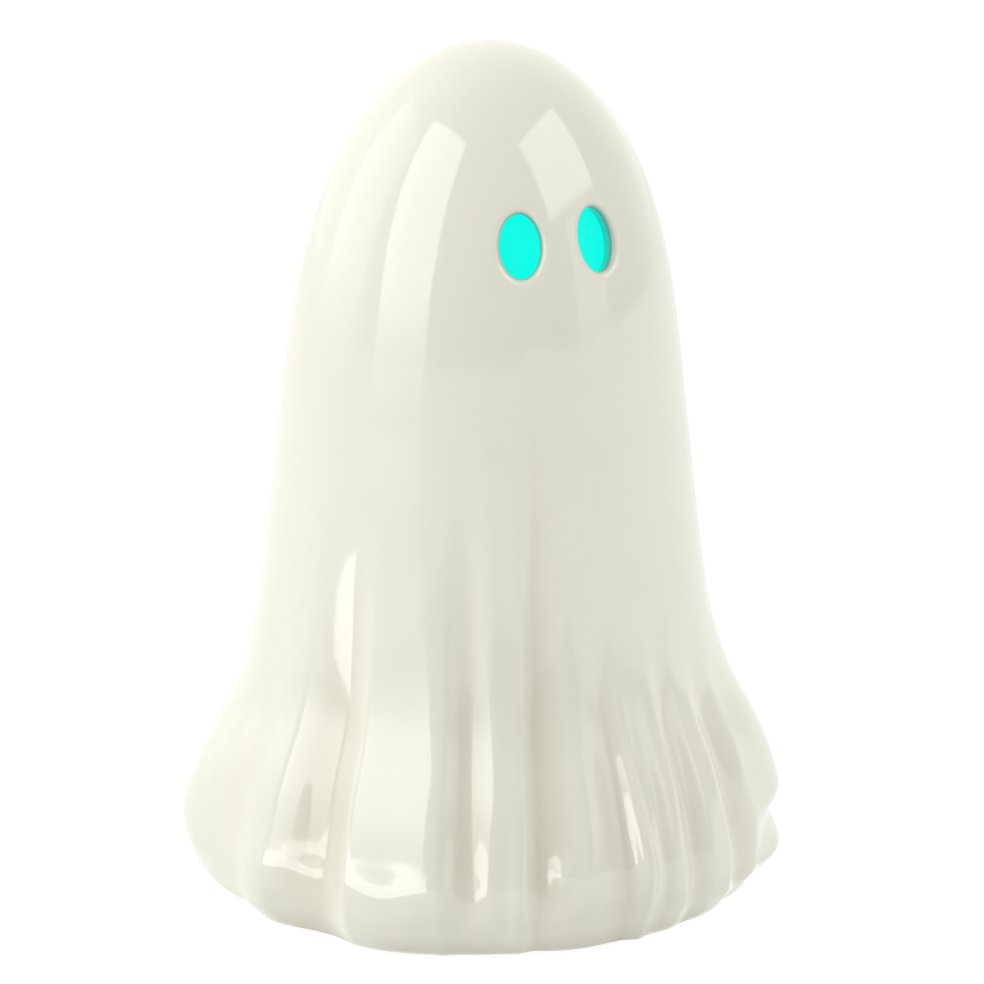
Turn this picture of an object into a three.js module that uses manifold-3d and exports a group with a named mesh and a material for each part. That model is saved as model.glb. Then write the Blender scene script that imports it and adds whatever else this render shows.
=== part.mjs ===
import * as THREE from "three";
import { mergeVertices } from "three/addons/utils/BufferGeometryUtils.js";
import Module from "manifold-3d";

// A light-up ghost: a hollow glazed ceramic figure of a draped sheet, with two oval eye holes and a
// battery light unit that plugs into the round opening in its base.
// Millimetres, Z up. The ghost looks along -Y, and the table it stands on is at Z = 0.

const wasm = await Module();
wasm.setup();

// Sizes of the ceramic body
const GHOST_HEIGHT = 200;
const CROWN_RISE = 101; // height of the domed upper half
const CROWN_POWER = 3.8; // the higher it is, the blunter the dome
const BODY_RADIUS = 49.6; // where the crown meets the skirt
const BODY_TAPER = 0.11; // loss of radius per mm of height, under the dome's own curve
const HEAD_LEAN = 2.9; // how far the top of the head leans out over the face
const LEAN_START = 117; // height where the lean begins
const HEM_RADIUS = 68.6; // of the skirt's widest part, its ridges apart
const HEM_HEIGHT = 19; // height of that widest part above the table
const HEM_TUCK = 4; // how far the hem turns in under itself
const HEM_EASE = [1.3, 5.4]; // how the hem leaves the skirt: outwards, and down
const HEM_TURN = [3.8, 5.2]; // how it comes in to the foot: outside it, and above it
const SKIRT_HANG = 69; // how far the body's taper goes on below the crown
const SKIRT_SWEEP = [9, 37.5]; // how the skirt comes into the hem: in from it, and above it
const WALL = 4;
const FOOT_RING_INNER_RADIUS = 54;
const FOOT_RECESS = 3.4; // the underside inside the foot ring is this much higher than the ring
const FLOOR_THICKNESS = 5;
const OPENING_RADIUS = 37; // round opening for the light unit
const FLOOR_FILLET = 5;
const CLAY_EDGE = 0.8; // softening of the foot ring's inner edge

// Soft pads under the foot ring
const PAD_THICKNESS = 1;
const PAD_RADIUS = 4;
const PAD_MARGIN = 0.4; // between a pad and the foot ring's inner edge
const PAD_ANGLES = [45, 135, 225, 315];

// How the folds of the sheet behave
const INNER_FOLD_SHARE = 0.7; // the cast inside follows the folds less deeply
const FOOT_FOLD_SHARE = 0.25; // share of a fold's depth that is left at the foot
const HEM_EDGE = 6.5; // height where the hem turns under
const HEM_LIFT = 0.5; // the hem rises by this share of a fold's depth
const HEM_LIFT_REACH = 26; // how far above the hem's edge its rise and fall are felt

// The folds of the sheet, by their angle round the axis from the face, positive towards +X.
// at: degrees at the hem. lean: degrees that it has turned by its top end. left, right: half widths
// in degrees. depth: mm pressed in at the hem, negative for a ridge that stands out. top: height
// where it fades out. edges: how crisp its left and right edges are, from 0 to 1.
const FOLDS = [
  { at: -59.7, lean: -2, left: 11, right: 8.6, depth: 5.4, top: 112, edges: [0.6, 0.85] },
  { at: -42.5, lean: 0, left: 6, right: 6, depth: 1.3, top: 46, edges: [0, 0] },
  { at: -28.9, lean: -1.5, left: 6.5, right: 6, depth: 4.8, top: 122, edges: [0.35, 0.35] },
  { at: -22, lean: 0, left: 3.6, right: 3.6, depth: 1, top: 42, edges: [0, 0] },
  { at: -14, lean: 4.4, left: 3.2, right: 10, depth: 5.4, top: 155, edges: [0.8, 0] },
  { at: 5.2, lean: 2, left: 9, right: 2.4, depth: 2.3, top: 86, edges: [0, 0.1] },
  { at: 10.1, lean: 0, left: 2, right: 2.4, depth: 0.9, top: 60, edges: [0.3, 0] },
  { at: 21.3, lean: 2, left: 5, right: 5, depth: 3, top: 84, edges: [0.2, 0.2] },
  { at: 37.3, lean: -1, left: 6.5, right: 8, depth: 4.2, top: 70, edges: [0.1, 0.4] },
  { at: 93, lean: -3, left: 9, right: 9, depth: 3.8, top: 96, edges: [0.2, 0] },
  { at: 115, lean: 4, left: 9, right: 10, depth: 4.2, top: 118, edges: [0.5, 0] },
  { at: 136, lean: 0, left: 8, right: 7, depth: 3, top: 92, edges: [0, 0.5] },
  { at: 157, lean: -4, left: 11, right: 9, depth: 4.6, top: 128, edges: [0, 0.4] },
  { at: 185, lean: 3, left: 8, right: 8, depth: 3, top: 100, edges: [0.4, 0.4] },
  { at: 210, lean: 0, left: 10, right: 11, depth: 4.4, top: 116, edges: [0, 0.3] },
  { at: 236, lean: 4, left: 9, right: 10, depth: 3.5, top: 104, edges: [0.5, 0] },
  { at: 275.3, lean: -3, left: 10, right: 9, depth: 1.2, top: 92, edges: [0, 0] },
  { at: 254.3, lean: 0, left: 18, right: 16, depth: -3.6, top: 44, edges: [0, 0] },
  { at: 63.3, lean: 0, left: 18, right: 16, depth: -3.4, top: 72, edges: [0, 0] },
];

// Where the hem hangs higher, or lower, than its folds alone would leave it. half: half width.
const HEM_WAVES = [
  { at: -87, half: 20, lift: -3 },
  { at: -44.7, half: 14, lift: -1 },
  { at: -19, half: 7, lift: -2 },
  { at: 1.5, half: 18, lift: 4.2 },
  { at: 37, half: 13, lift: -2 },
  { at: 119, half: 20, lift: 3 },
  { at: 168, half: 18, lift: -2.5 },
  { at: 219, half: 18, lift: 3 },
];

// Short creases across the folds' run. half: half width in degrees. reach: half height.
const NOTCHES = [
  { at: 60, height: 14.5, half: 18, reach: 8, depth: 2.8 },
  { at: 62, height: 4.5, half: 22, reach: 8.5, depth: -2.2 },
];

// Sizes of the eyes
const EYE_ANGLE = 14; // degrees each side of the face's middle
const EYE_DROP = 40.2; // from the top of the head down to an eye's middle
const EYE_HALF_WIDTH = 4.7;
const EYE_HALF_HEIGHT = 7.2;
const EYE_LIP = 1.2; // bevel of the hole's outer edge
const DIFFUSER_OVERLAP = 2.6; // how far an eye diffuser reaches past its hole
const DIFFUSER_THICKNESS = 1.6;
const GLUE_GAP = 0.3; // between a diffuser and the wall it is glued to

// Clearances
const CLEARANCE = 0.3; // between pieces that seat on or in each other
const RUNNING_GAP = 0.4; // round pieces that move

// Bought-in pieces
const CELL = { diameter: 10.5, length: 44.5, nubDiameter: 3.8, nubHeight: 0.8 }; // AAA cell
const CELL_COUNT = 3;
const CELL_PITCH = 11;
const LED = { diameter: 5, rimDiameter: 5.8, rimHeight: 1, height: 8.6 };
const LED_RING_RADIUS = 5.2;
const CHIP = { length: 5, width: 4, height: 1.6, legs: 4, legPitch: 1.27, legReach: 1 };
const CHIP_PLACE = [-11.5, -2];
const RESISTOR = { length: 6, diameter: 2.3, wire: 0.6, span: 8.6 };
const RESISTOR_COUNT = 3;
const RESISTOR_PITCH = 4.4;
const RESISTOR_PLACE = [12.2, 1.5]; // middle of the row
const SWITCH = { length: 8.6, width: 3.8, height: 3.6, travel: 2.6 };
const SWITCH_PIN = { height: 2.6, width: 0.8, sheet: 0.6, pitch: 2.5 };
const SCREW = { headRadius: 2.2, headHeight: 1.3, shankRadius: 0.9, length: 6, slot: 0.5 };

// Sizes of the light unit's mouldings
const FLANGE_RADIUS = 43;
const FLANGE_THICKNESS = 2;
const CUP_RADIUS = 33.4;
const CUP_WALL = 1.8;
const CUP_HEIGHT = 19.7; // above the flange
const BEAD = 0.9; // ring round the cup that keeps the gasket down
const PLASTIC = 1.5; // wall of the battery tray
const BOSS_RADIUS = 2.9;
const MERGE = 0.5; // how far joined shapes run into each other, and a cut past its piece

// Gasket: a silicone sleeve with fins that grip the ceramic's opening
const GASKET_HEIGHT = 7.6;
const GASKET_SLEEVE = 1.1;
const GASKET_FINS = 2;

// Top cover, dome and board
const COVER_THICKNESS = 1.8;
const COVER_SPIGOT = 2;
const COVER_SPIGOT_WALL = 1.1;
const COVER_EDGE = 0.5;
const COVER_BOSS_CIRCLE = 27;
const COVER_BOSS_ANGLES = [90, 210, 330];
const DOME_RADIUS = 12;
const DOME_WALL = 1.4;
const DOME_HEIGHT = 14;
const DOME_SHOULDER = 4.4; // height of the dome's straight wall
const DOME_FLANGE = 3.5;
const DOME_FLANGE_THICKNESS = 1.2;
const BOARD = { width: 34, depth: 24, thickness: 1.2, corner: 2 };
const BOARD_POST_RADIUS = 2.5;
const BOARD_POST_HEIGHT = 2.2;
const BOARD_SCREW_PLACES = [[-13.5, 9], [13.5, -9]];
const BOARD_SCREW_REACH = 4;

// Battery door: two hooks on its +X edge, and a tongue with the screw on its -X side
const DOOR_THICKNESS = 1.6;
const DOOR_LEDGE = 1.2; // width of the ledge that the door closes against
const DOOR_BEVEL = 1.4; // on the door's hinge edge, which lets it tip open
const CELL_LIFT = 0.6; // gap between the door and the cells
const HOOK_PLACES = [-16, 16];
const HOOK_HALF_WIDTH = 3.5;
const HOOK_SHEET = 0.8;
const HOOK_REACH = 1.9;
const HOOK_RISE = 0.7; // thickness of a hook's tip
const HOOK_SWING = 1.4; // room above a hook as the door tips
const TONGUE_HALF_WIDTH = 5;
const TONGUE_THICKNESS = 2.4;
const TONGUE_REACH = 11.3; // past the door's edge
const DOOR_SCREW_INSET = 4; // from the tongue's end
const DOOR_SCREW_REACH = 3.9; // of the shank above its head
const DOOR_BOSS_HEIGHT = 5;

// Battery contacts and leads
const SPRING_ROOM = 4.9; // between a cell's flat end and its contact
const CONTACT_SHEET = 0.4;
const CONTACT_HEIGHT = 9;
const CONTACT_WIDTH = 8.4;
const DIMPLE = { height: 1, baseRadius: 2.4, tipRadius: 1.6 };
const SPRING = { wire: 0.7, turns: 3.5, baseRadius: 3.5, tipRadius: 2.3 };
const TAB_WIDTH = 2.4;
const TAB_RISE = 2.2; // of a solder tab above the tray's roof
const TAB_SLOT = 1.2;
const TAB_CELLS = [[CELL_COUNT - 1, 1], [0, -1]]; // which cell and end carries each battery lead
const WIRE_DIAMETER = 1.2;
const WIRE_CIRCLE = 27; // radius at which a lead passes outside the board
const WIRE_CIRCLE_ANGLE = 49.5;

// Switch: beside the tray on its +X side, its knob in a finger recess in the flange
const SWITCH_X = 25;
const SWITCH_RECESS = { depth: 1.2, halfWidth: 3.2, halfLength: 6.2 };
const SWITCH_PAD = 1.3; // moulding left above the recess, past the flange's own thickness
const SWITCH_GRIP = 0.7; // share of the switch's height that its end posts reach
const KNOB = { length: 4.6, width: 3.6, height: 0.7, stem: 2 };
const KNOB_GROOVES = { count: 3, pitch: 1.3, width: 0.5, depth: 0.3 };

// Facets
const BODY_SIDES = 90;
const INNER_SIDES = 48;
const HOLLOW_ROWS = 6; // down the inside of the crown
const LARGE_SIDES = 48;
const SMALL_SIDES = 16;
const COIL_STEPS = 8; // in each turn
const WIRE_STEPS = 14;

const degrees = THREE.MathUtils.degToRad;
const pair = (x, y) => new THREE.Vector2(x, y);
const point = (x, y, z) => new THREE.Vector3(x, y, z);

// Solids and geometries

function solidOf(geometry) {
  const bare = geometry.clone();
  bare.deleteAttribute("normal");
  bare.deleteAttribute("uv");
  const merged = mergeVertices(bare, 1e-4);
  const made = new wasm.Manifold(
    new wasm.Mesh({
      numProp: 3,
      vertProperties: merged.attributes.position.array,
      triVerts: new Uint32Array(merged.index.array),
    }),
  );
  return made;
}

function geometryOf(solid) {
  const mesh = solid.getMesh();
  const places = new Float32Array(mesh.numVert * 3);
  for (let i = 0; i < mesh.numVert; i++) {
    const start = i * mesh.numProp;
    places.set(mesh.vertProperties.subarray(start, start + 3), i * 3);
  }
  const geometry = new THREE.BufferGeometry();
  geometry.setAttribute("position", new THREE.BufferAttribute(places, 3));
  geometry.setIndex(new THREE.BufferAttribute(mesh.triVerts, 1));
  geometry.computeVertexNormals();
  return geometry;
}

// Joins the added shapes and cuts the removed ones away.
function shaped(added, removed = []) {
  let solid = solidOf(added[0]);
  for (const shape of added.slice(1)) {
    solid = solid.add(solidOf(shape));
  }
  for (const shape of removed) {
    solid = solid.subtract(solidOf(shape));
  }
  return geometryOf(solid);
}

function block(x0, x1, y0, y1, z0, z1) {
  const geometry = new THREE.BoxGeometry(x1 - x0, y1 - y0, z1 - z0);
  return geometry.translate((x0 + x1) / 2, (y0 + y1) / 2, (z0 + z1) / 2);
}

function cylinder(x, y, radius, z0, z1, sides = SMALL_SIDES) {
  const geometry = new THREE.CylinderGeometry(radius, radius, z1 - z0, sides);
  return geometry.rotateX(Math.PI / 2).translate(x, y, (z0 + z1) / 2);
}

// A closed skin over rings of points, which may differ in number. A ring of one point closes an
// end. Rings run round anticlockwise, seen from where the last ring lies.
function skin(rings) {
  const places = [];
  const faces = [];
  const starts = rings.map((ring) => {
    const start = places.length / 3;
    ring.forEach((p) => places.push(p.x, p.y, p.z));
    return start;
  });
  for (let i = 0; i + 1 < rings.length; i++) {
    const low = rings[i].length;
    const high = rings[i + 1].length;
    const count = Math.max(low, high);
    for (let k = 0; k < count; k++) {
      const a = starts[i] + (Math.floor((k * low) / count) % low);
      const b = starts[i] + (Math.floor(((k + 1) * low) / count) % low);
      const c = starts[i + 1] + (Math.floor(((k + 1) * high) / count) % high);
      const d = starts[i + 1] + (Math.floor((k * high) / count) % high);
      if (a !== b) faces.push(a, b, c);
      if (c !== d) faces.push(a, c, d);
    }
  }
  const geometry = new THREE.BufferGeometry();
  geometry.setAttribute("position", new THREE.Float32BufferAttribute(places, 3));
  geometry.setIndex(faces);
  geometry.computeVertexNormals();
  return geometry;
}

// A turned piece: its half section, [radius, height] pairs that start and end on the axis or close on
// themselves, taken anticlockwise, so up the outside and down the inside.
function turned(section, sides = LARGE_SIDES) {
  const points = section.map(([radius, height]) => pair(radius, height));
  const lathe = new THREE.LatheGeometry(points, sides);
  return lathe.rotateX(Math.PI / 2);
}

function ringSection(inner, outer, z0, z1) {
  return [[inner, z0], [outer, z0], [outer, z1], [inner, z1], [inner, z0]];
}

function wireThrough(points, diameter, steps) {
  const circle = new THREE.Shape();
  circle.absarc(0, 0, diameter / 2, 0, 2 * Math.PI);
  const path = new THREE.CatmullRomCurve3(points, false, "centripetal");
  return new THREE.ExtrudeGeometry(circle, { extrudePath: path, steps, curveSegments: 3 });
}

// The drape: where the ceramic's surface lies

const FOOT_Z = PAD_THICKNESS;
const HEM_Z = HEM_HEIGHT;
const CROWN_Z = GHOST_HEIGHT - CROWN_RISE;
const EYE_Z = GHOST_HEIGHT - EYE_DROP;
const RECESS_Z = FOOT_Z + FOOT_RECESS;
const FLOOR_TOP_Z = RECESS_Z + FLOOR_THICKNESS;

// A raised cosine, from 1 down to 0 as the share goes from 0 to 1.
const raised = (share) => (1 + Math.cos(Math.PI * Math.min(1, share))) / 2;

function foldDepth(angle, height) {
  let depth = 0;
  for (const fold of FOLDS) {
    const fall = THREE.MathUtils.clamp((fold.top - height) / (fold.top - HEM_Z), 0, 1);
    const fade = fall * fall * (3 - 2 * fall);
    const turnedBy = fold.lean * Math.max(0, 1 - fall);
    const off = THREE.MathUtils.euclideanModulo(angle - fold.at - turnedBy + 180, 360) - 180;
    const share = Math.min(1, Math.abs(off) / (off < 0 ? fold.left : fold.right));
    const soft = raised(share);
    const crisp = 1 - share * share;
    depth += fold.depth * fade * THREE.MathUtils.lerp(soft, crisp, fold.edges[off < 0 ? 0 : 1]);
  }
  for (const notch of NOTCHES) {
    const off = THREE.MathUtils.euclideanModulo(angle - notch.at + 180, 360) - 180;
    const across = raised(Math.abs(off) / notch.half);
    depth += notch.depth * across * raised(Math.abs(height - notch.height) / notch.reach);
  }
  const underHem = THREE.MathUtils.clamp((HEM_Z - height) / (HEM_Z - FOOT_Z), 0, 1);
  return depth * (1 - (1 - FOOT_FOLD_SHARE) * underHem);
}

function hemShift(angle) {
  let shift = 0;
  for (const { at, half, lift } of HEM_WAVES) {
    const off = THREE.MathUtils.euclideanModulo(angle - at + 180, 360) - 180;
    shift += lift * raised(Math.abs(off) / half);
  }
  return shift;
}

function leanAt(height) {
  const share = THREE.MathUtils.clamp((height - LEAN_START) / (GHOST_HEIGHT - LEAN_START), 0, 1);
  return HEAD_LEAN * Math.sin((share * Math.PI) / 2);
}

// Where a point of the plain profile lies once the folds have moved it in and up, and the head has
// leant it forward. share: how much of the folds it follows.
function draped(angle, radius, height, share) {
  const depth = foldDepth(angle, height) * share;
  const above = (height - FOOT_Z - HEM_EDGE) / HEM_LIFT_REACH;
  const below = (FOOT_Z + HEM_EDGE - height) / HEM_EDGE;
  const near = Math.max(0, 1 - Math.max(above, below));
  const lift = near * (HEM_LIFT * depth + hemShift(angle) * share);
  const a = degrees(angle);
  const r = radius - depth;
  return point(r * Math.sin(a), -r * Math.cos(a) - leanAt(height), height + lift);
}

function crownRadius(height) {
  const share = (height - CROWN_Z) / CROWN_RISE;
  const cone = BODY_RADIUS - BODY_TAPER * (height - CROWN_Z);
  return cone * Math.sqrt(Math.max(0, 1 - Math.pow(share, CROWN_POWER)));
}

// The crown's profile, from its top down to the skirt.
class CrownCurve extends THREE.Curve {
  getPoint(t, target = new THREE.Vector2()) {
    const height = CROWN_Z + CROWN_RISE * Math.cos((t * Math.PI) / 2);
    return target.set(t === 0 ? 0 : crownRadius(height), height);
  }
}

const crownCurve = new CrownCurve();
const skirtCurve = new THREE.CubicBezierCurve(
  pair(BODY_RADIUS, CROWN_Z),
  pair(BODY_RADIUS + BODY_TAPER * SKIRT_HANG, CROWN_Z - SKIRT_HANG),
  pair(HEM_RADIUS - SKIRT_SWEEP[0], HEM_Z + SKIRT_SWEEP[1]),
  pair(HEM_RADIUS, HEM_Z),
);

// The hem's profile, from the widest part of the skirt round its turned-under edge to the foot.
const FOOT_RADIUS = HEM_RADIUS - HEM_TUCK;
const hemCurve = new THREE.CubicBezierCurve(
  pair(HEM_RADIUS, HEM_Z),
  pair(HEM_RADIUS + HEM_EASE[0], HEM_Z - HEM_EASE[1]),
  pair(FOOT_RADIUS + HEM_TURN[0], FOOT_Z + HEM_TURN[1]),
  pair(FOOT_RADIUS, FOOT_Z),
);

// Points of a curve, each moved in by a distance along the curve's normal.
function insetPoints(curve, count, first, inset) {
  const found = [];
  for (let i = first; i <= count; i++) {
    const at = curve.getPoint(i / count);
    const along = curve.getTangent(i / count);
    found.push(pair(at.x + along.y * inset, at.y - along.x * inset));
  }
  return found;
}

// Ceramic body

function shellRing(radius, height, share, sides = INNER_SIDES) {
  return Array.from({ length: sides }, (_, k) => draped((360 * k) / sides, radius, height, share));
}

// The hollow inside the crown, as a solid, moved in from the inner wall. Both the wall and the
// pieces glued to it take their faces from these rings.
function hollowRings(inset) {
  const apex = point(0, -leanAt(GHOST_HEIGHT), GHOST_HEIGHT - WALL - inset);
  const rings = insetPoints(crownCurve, HOLLOW_ROWS, 1, WALL + inset).map((at) =>
    shellRing(at.x, at.y, INNER_FOLD_SHARE));
  return [[apex], ...rings];
}

// An oval column along -Y, from inside the wall to outside it, whose mouth flares just inside Y = 0.
function eyeColumn(grow, lip) {
  const inside = 3.5 * WALL;
  const outside = WALL;
  const sides = 20;
  const halfWidth = EYE_HALF_WIDTH + grow;
  const section = [[0, -inside], [1, -inside]];
  if (lip > 0) section.push([1, -lip]);
  section.push([1 + (lip > 0 ? (lip + outside) / halfWidth : 0), outside], [0, outside]);
  return turned(section, sides)
    .rotateX(Math.PI / 2)
    .scale(halfWidth, 1, EYE_HALF_HEIGHT + grow);
}

// Moves a shape from Y = 0, looking along -Y, to an eye's place on the crown, square to its surface.
function placedAtEye(geometry, side) {
  const step = 0.5;
  const fallAway = crownRadius(EYE_Z - step) - crownRadius(EYE_Z + step);
  return geometry
    .rotateX(-Math.atan(fallAway / (2 * step)))
    .translate(0, -crownRadius(EYE_Z), EYE_Z)
    .rotateZ(degrees(side * EYE_ANGLE))
    .translate(0, -leanAt(EYE_Z), 0);
}

function ceramicShell() {
  const apex = point(0, -leanAt(GHOST_HEIGHT), GHOST_HEIGHT);
  const outside = [
    ...insetPoints(crownCurve, 10, 1, 0),
    ...insetPoints(skirtCurve, 10, 1, 0),
    ...insetPoints(hemCurve, 6, 1, 0),
  ].map((at) => shellRing(at.x, at.y, 1, BODY_SIDES));
  const underside = [
    [FOOT_RING_INNER_RADIUS, FOOT_Z],
    [FOOT_RING_INNER_RADIUS - CLAY_EDGE, FOOT_Z + CLAY_EDGE],
    [FOOT_RING_INNER_RADIUS - CLAY_EDGE, RECESS_Z],
    [OPENING_RADIUS, RECESS_Z],
    [OPENING_RADIUS, FLOOR_TOP_Z],
  ].map(([radius, height]) => shellRing(radius, height, 0));
  const innerSkirt = insetPoints(skirtCurve, 6, 1, WALL)
    .filter((at) => at.y > FLOOR_TOP_Z + FLOOR_FILLET);
  const lowest = innerSkirt[innerSkirt.length - 1];
  const floorEdge = [
    [lowest.x - FLOOR_FILLET * 1.2, FLOOR_TOP_Z],
    [lowest.x - FLOOR_FILLET * 0.2, FLOOR_TOP_Z + FLOOR_FILLET * 0.6],
  ].map(([radius, height]) => shellRing(radius, height, INNER_FOLD_SHARE));
  const inside = innerSkirt.reverse().map((at) => shellRing(at.x, at.y, INNER_FOLD_SHARE));
  const hollow = hollowRings(0).reverse();
  const rings = [[apex], ...outside, ...underside, ...floorEdge, ...inside, ...hollow].reverse();
  const cutters = [-1, 1].map((side) => placedAtEye(eyeColumn(0, EYE_LIP), side));
  return shaped([skin(rings)], cutters);
}

// A thin oval dish of frosted plastic that lies against the inner wall behind an eye hole.
function eyeDiffuser(side) {
  const hollow = (inset) => {
    const rings = hollowRings(inset);
    return solidOf(skin([...rings, [point(0, 0, CROWN_Z)]].reverse()));
  };
  const column = placedAtEye(eyeColumn(DIFFUSER_OVERLAP, 0), side);
  const skinDish = hollow(GLUE_GAP).subtract(hollow(GLUE_GAP + DIFFUSER_THICKNESS));
  return geometryOf(skinDish.intersect(solidOf(column)));
}

function spots(angles, radius) {
  return angles.map((angle) => {
    const a = degrees(angle);
    return [radius * Math.cos(a), radius * Math.sin(a)];
  });
}

function footPad(angle) {
  const [spot] = spots([angle], FOOT_RING_INNER_RADIUS + PAD_RADIUS + PAD_MARGIN);
  return cylinder(...spot, PAD_RADIUS, 0, PAD_THICKNESS, 16);
}

// Levels of the light unit, from the table up

const FLANGE_TOP_Z = RECESS_Z - CLEARANCE;
const FLANGE_Z = FLANGE_TOP_Z - FLANGE_THICKNESS;
const DOOR_TOP_Z = FLANGE_Z + DOOR_THICKNESS;
const LEDGE_Z = DOOR_TOP_Z + CLEARANCE;
const TONGUE_TOP_Z = FLANGE_Z + TONGUE_THICKNESS;
const HOOK_Z = FLANGE_TOP_Z + RUNNING_GAP;
const HOOK_TOP_Z = HOOK_Z + HOOK_RISE;
const SWITCH_Z = FLANGE_TOP_Z + SWITCH_PAD + CLEARANCE;
const GASKET_Z = FLANGE_TOP_Z + CLEARANCE;
const GASKET_TOP_Z = GASKET_Z + GASKET_HEIGHT;
const TONGUE_BOX_TOP_Z = TONGUE_TOP_Z + CLEARANCE + PLASTIC;
const CELL_Z = DOOR_TOP_Z + CELL_LIFT + CELL.diameter / 2;
const ROOF_Z = CELL_Z + CELL.diameter / 2 + CLEARANCE;
const ROOF_TOP_Z = ROOF_Z + PLASTIC;
const CUP_TOP_Z = FLANGE_TOP_Z + CUP_HEIGHT;
const BOARD_Z = ROOF_TOP_Z + BOARD_POST_HEIGHT + CLEARANCE;
const BOARD_TOP_Z = BOARD_Z + BOARD.thickness;
const BOARD_PART_Z = BOARD_TOP_Z + CLEARANCE; // what is soldered on the board starts here
const COVER_Z = CUP_TOP_Z + CLEARANCE;
const COVER_TOP_Z = COVER_Z + COVER_THICKNESS;

// Battery tray: the cells lie along Y, side by side along X, and point each way in turn

const TRAY_HALF_WIDTH = (CELL_COUNT * CELL_PITCH) / 2 + CLEARANCE;
const TRAY_HALF_LENGTH =
  (CELL.length + SPRING_ROOM + DIMPLE.height) / 2 + CONTACT_SHEET + 2 * CLEARANCE;
const CUP_INNER_RADIUS = CUP_RADIUS - CUP_WALL;
const DOOR_HALF_WIDTH = TRAY_HALF_WIDTH + DOOR_LEDGE - CLEARANCE;
const DOOR_HALF_LENGTH = TRAY_HALF_LENGTH + DOOR_LEDGE - CLEARANCE;
const CONTACT_FACE_Y = TRAY_HALF_LENGTH - CLEARANCE - CONTACT_SHEET;
const NUB_END_Y = CONTACT_FACE_Y - DIMPLE.height - CLEARANCE;
const cellX = (i) => (i - (CELL_COUNT - 1) / 2) * CELL_PITCH;
const cellPoints = (i) => (i % 2 === 0 ? 1 : -1); // +1 when the nub looks along +Y
const TONGUE_END_X = -(DOOR_HALF_WIDTH + TONGUE_REACH);
const DOOR_SCREW_X = TONGUE_END_X + DOOR_SCREW_INSET;
const KNOB_Y = SWITCH.travel / 2; // the knob rests at its ON end
const KNOB_SLOT_HALF_WIDTH = KNOB.stem / 2 + RUNNING_GAP;
const KNOB_SLOT_HALF_LENGTH = (SWITCH.travel + KNOB.stem) / 2 + RUNNING_GAP;

// The battery tray's outside, kept within the cup, and the box over the door's tongue.
function trayShapes() {
  const wallX = TRAY_HALF_WIDTH + PLASTIC;
  const wallY = TRAY_HALF_LENGTH + PLASTIC;
  const tray = solidOf(block(-wallX, wallX, -wallY, wallY, FLANGE_Z, ROOF_TOP_Z));
  const within = solidOf(cylinder(0, 0, CUP_RADIUS - CUP_WALL / 2, 0, CUP_TOP_Z, LARGE_SIDES));
  const side = TONGUE_HALF_WIDTH + CLEARANCE + PLASTIC;
  return [
    geometryOf(tray.intersect(within)),
    block(TONGUE_END_X - PLASTIC, -TRAY_HALF_WIDTH - PLASTIC / 2, -side, side,
      FLANGE_Z + MERGE, TONGUE_BOX_TOP_Z),
    cylinder(DOOR_SCREW_X, 0, BOSS_RADIUS, TONGUE_BOX_TOP_Z - MERGE,
      TONGUE_BOX_TOP_Z + DOOR_BOSS_HEIGHT),
  ];
}

// What the battery tray, its door, the door's hooks and tongue, and the contacts' tabs need cut away.
function trayCuts() {
  const x = TRAY_HALF_WIDTH;
  const y = TRAY_HALF_LENGTH;
  const doorX = DOOR_HALF_WIDTH + CLEARANCE;
  const doorY = DOOR_HALF_LENGTH + CLEARANCE;
  const tongueY = TONGUE_HALF_WIDTH + CLEARANCE;
  const low = FLANGE_Z - MERGE;
  const hooks = HOOK_PLACES.map((place) => {
    const half = HOOK_HALF_WIDTH + RUNNING_GAP;
    return block(x - MERGE, x + PLASTIC + MERGE, place - half, place + half,
      LEDGE_Z - MERGE, HOOK_TOP_Z + HOOK_SWING);
  });
  const tabs = TAB_CELLS.map(([i, end]) => {
    const half = TAB_WIDTH / 2 + CLEARANCE;
    const near = end * (y - TAB_SLOT);
    return block(cellX(i) - half, cellX(i) + half, Math.min(near, end * y), Math.max(near, end * y),
      ROOF_Z - MERGE, ROOF_TOP_Z + MERGE);
  });
  return [
    block(-x, x, -y, y, low, ROOF_Z),
    block(-doorX, doorX, -doorY, doorY, low, LEDGE_Z),
    block(TONGUE_END_X - CLEARANCE, -DOOR_HALF_WIDTH, -tongueY, tongueY,
      low, TONGUE_TOP_Z + CLEARANCE),
    cylinder(DOOR_SCREW_X, 0, SCREW.shankRadius + 2 * CLEARANCE, FLANGE_Z,
      TONGUE_BOX_TOP_Z + DOOR_BOSS_HEIGHT - PLASTIC),
    ...hooks,
    ...tabs,
  ];
}

// The pad that the switch sits on, and the two posts that hold its ends.
function switchSeat() {
  const { halfWidth, halfLength } = SWITCH_RECESS;
  const pad = block(SWITCH_X - halfWidth - PLASTIC, SWITCH_X + halfWidth + PLASTIC,
    -halfLength - PLASTIC, halfLength + PLASTIC, FLANGE_Z + MERGE, FLANGE_TOP_Z + SWITCH_PAD);
  const near = SWITCH.length / 2 + CLEARANCE;
  const far = near + PLASTIC;
  const half = SWITCH.width / 2 + PLASTIC;
  const top = SWITCH_Z + SWITCH.height * SWITCH_GRIP;
  const posts = [[-far, -near], [near, far]].map(([y0, y1]) =>
    block(SWITCH_X - half, SWITCH_X + half, y0, y1, FLANGE_TOP_Z, top));
  return [pad, ...posts];
}

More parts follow.
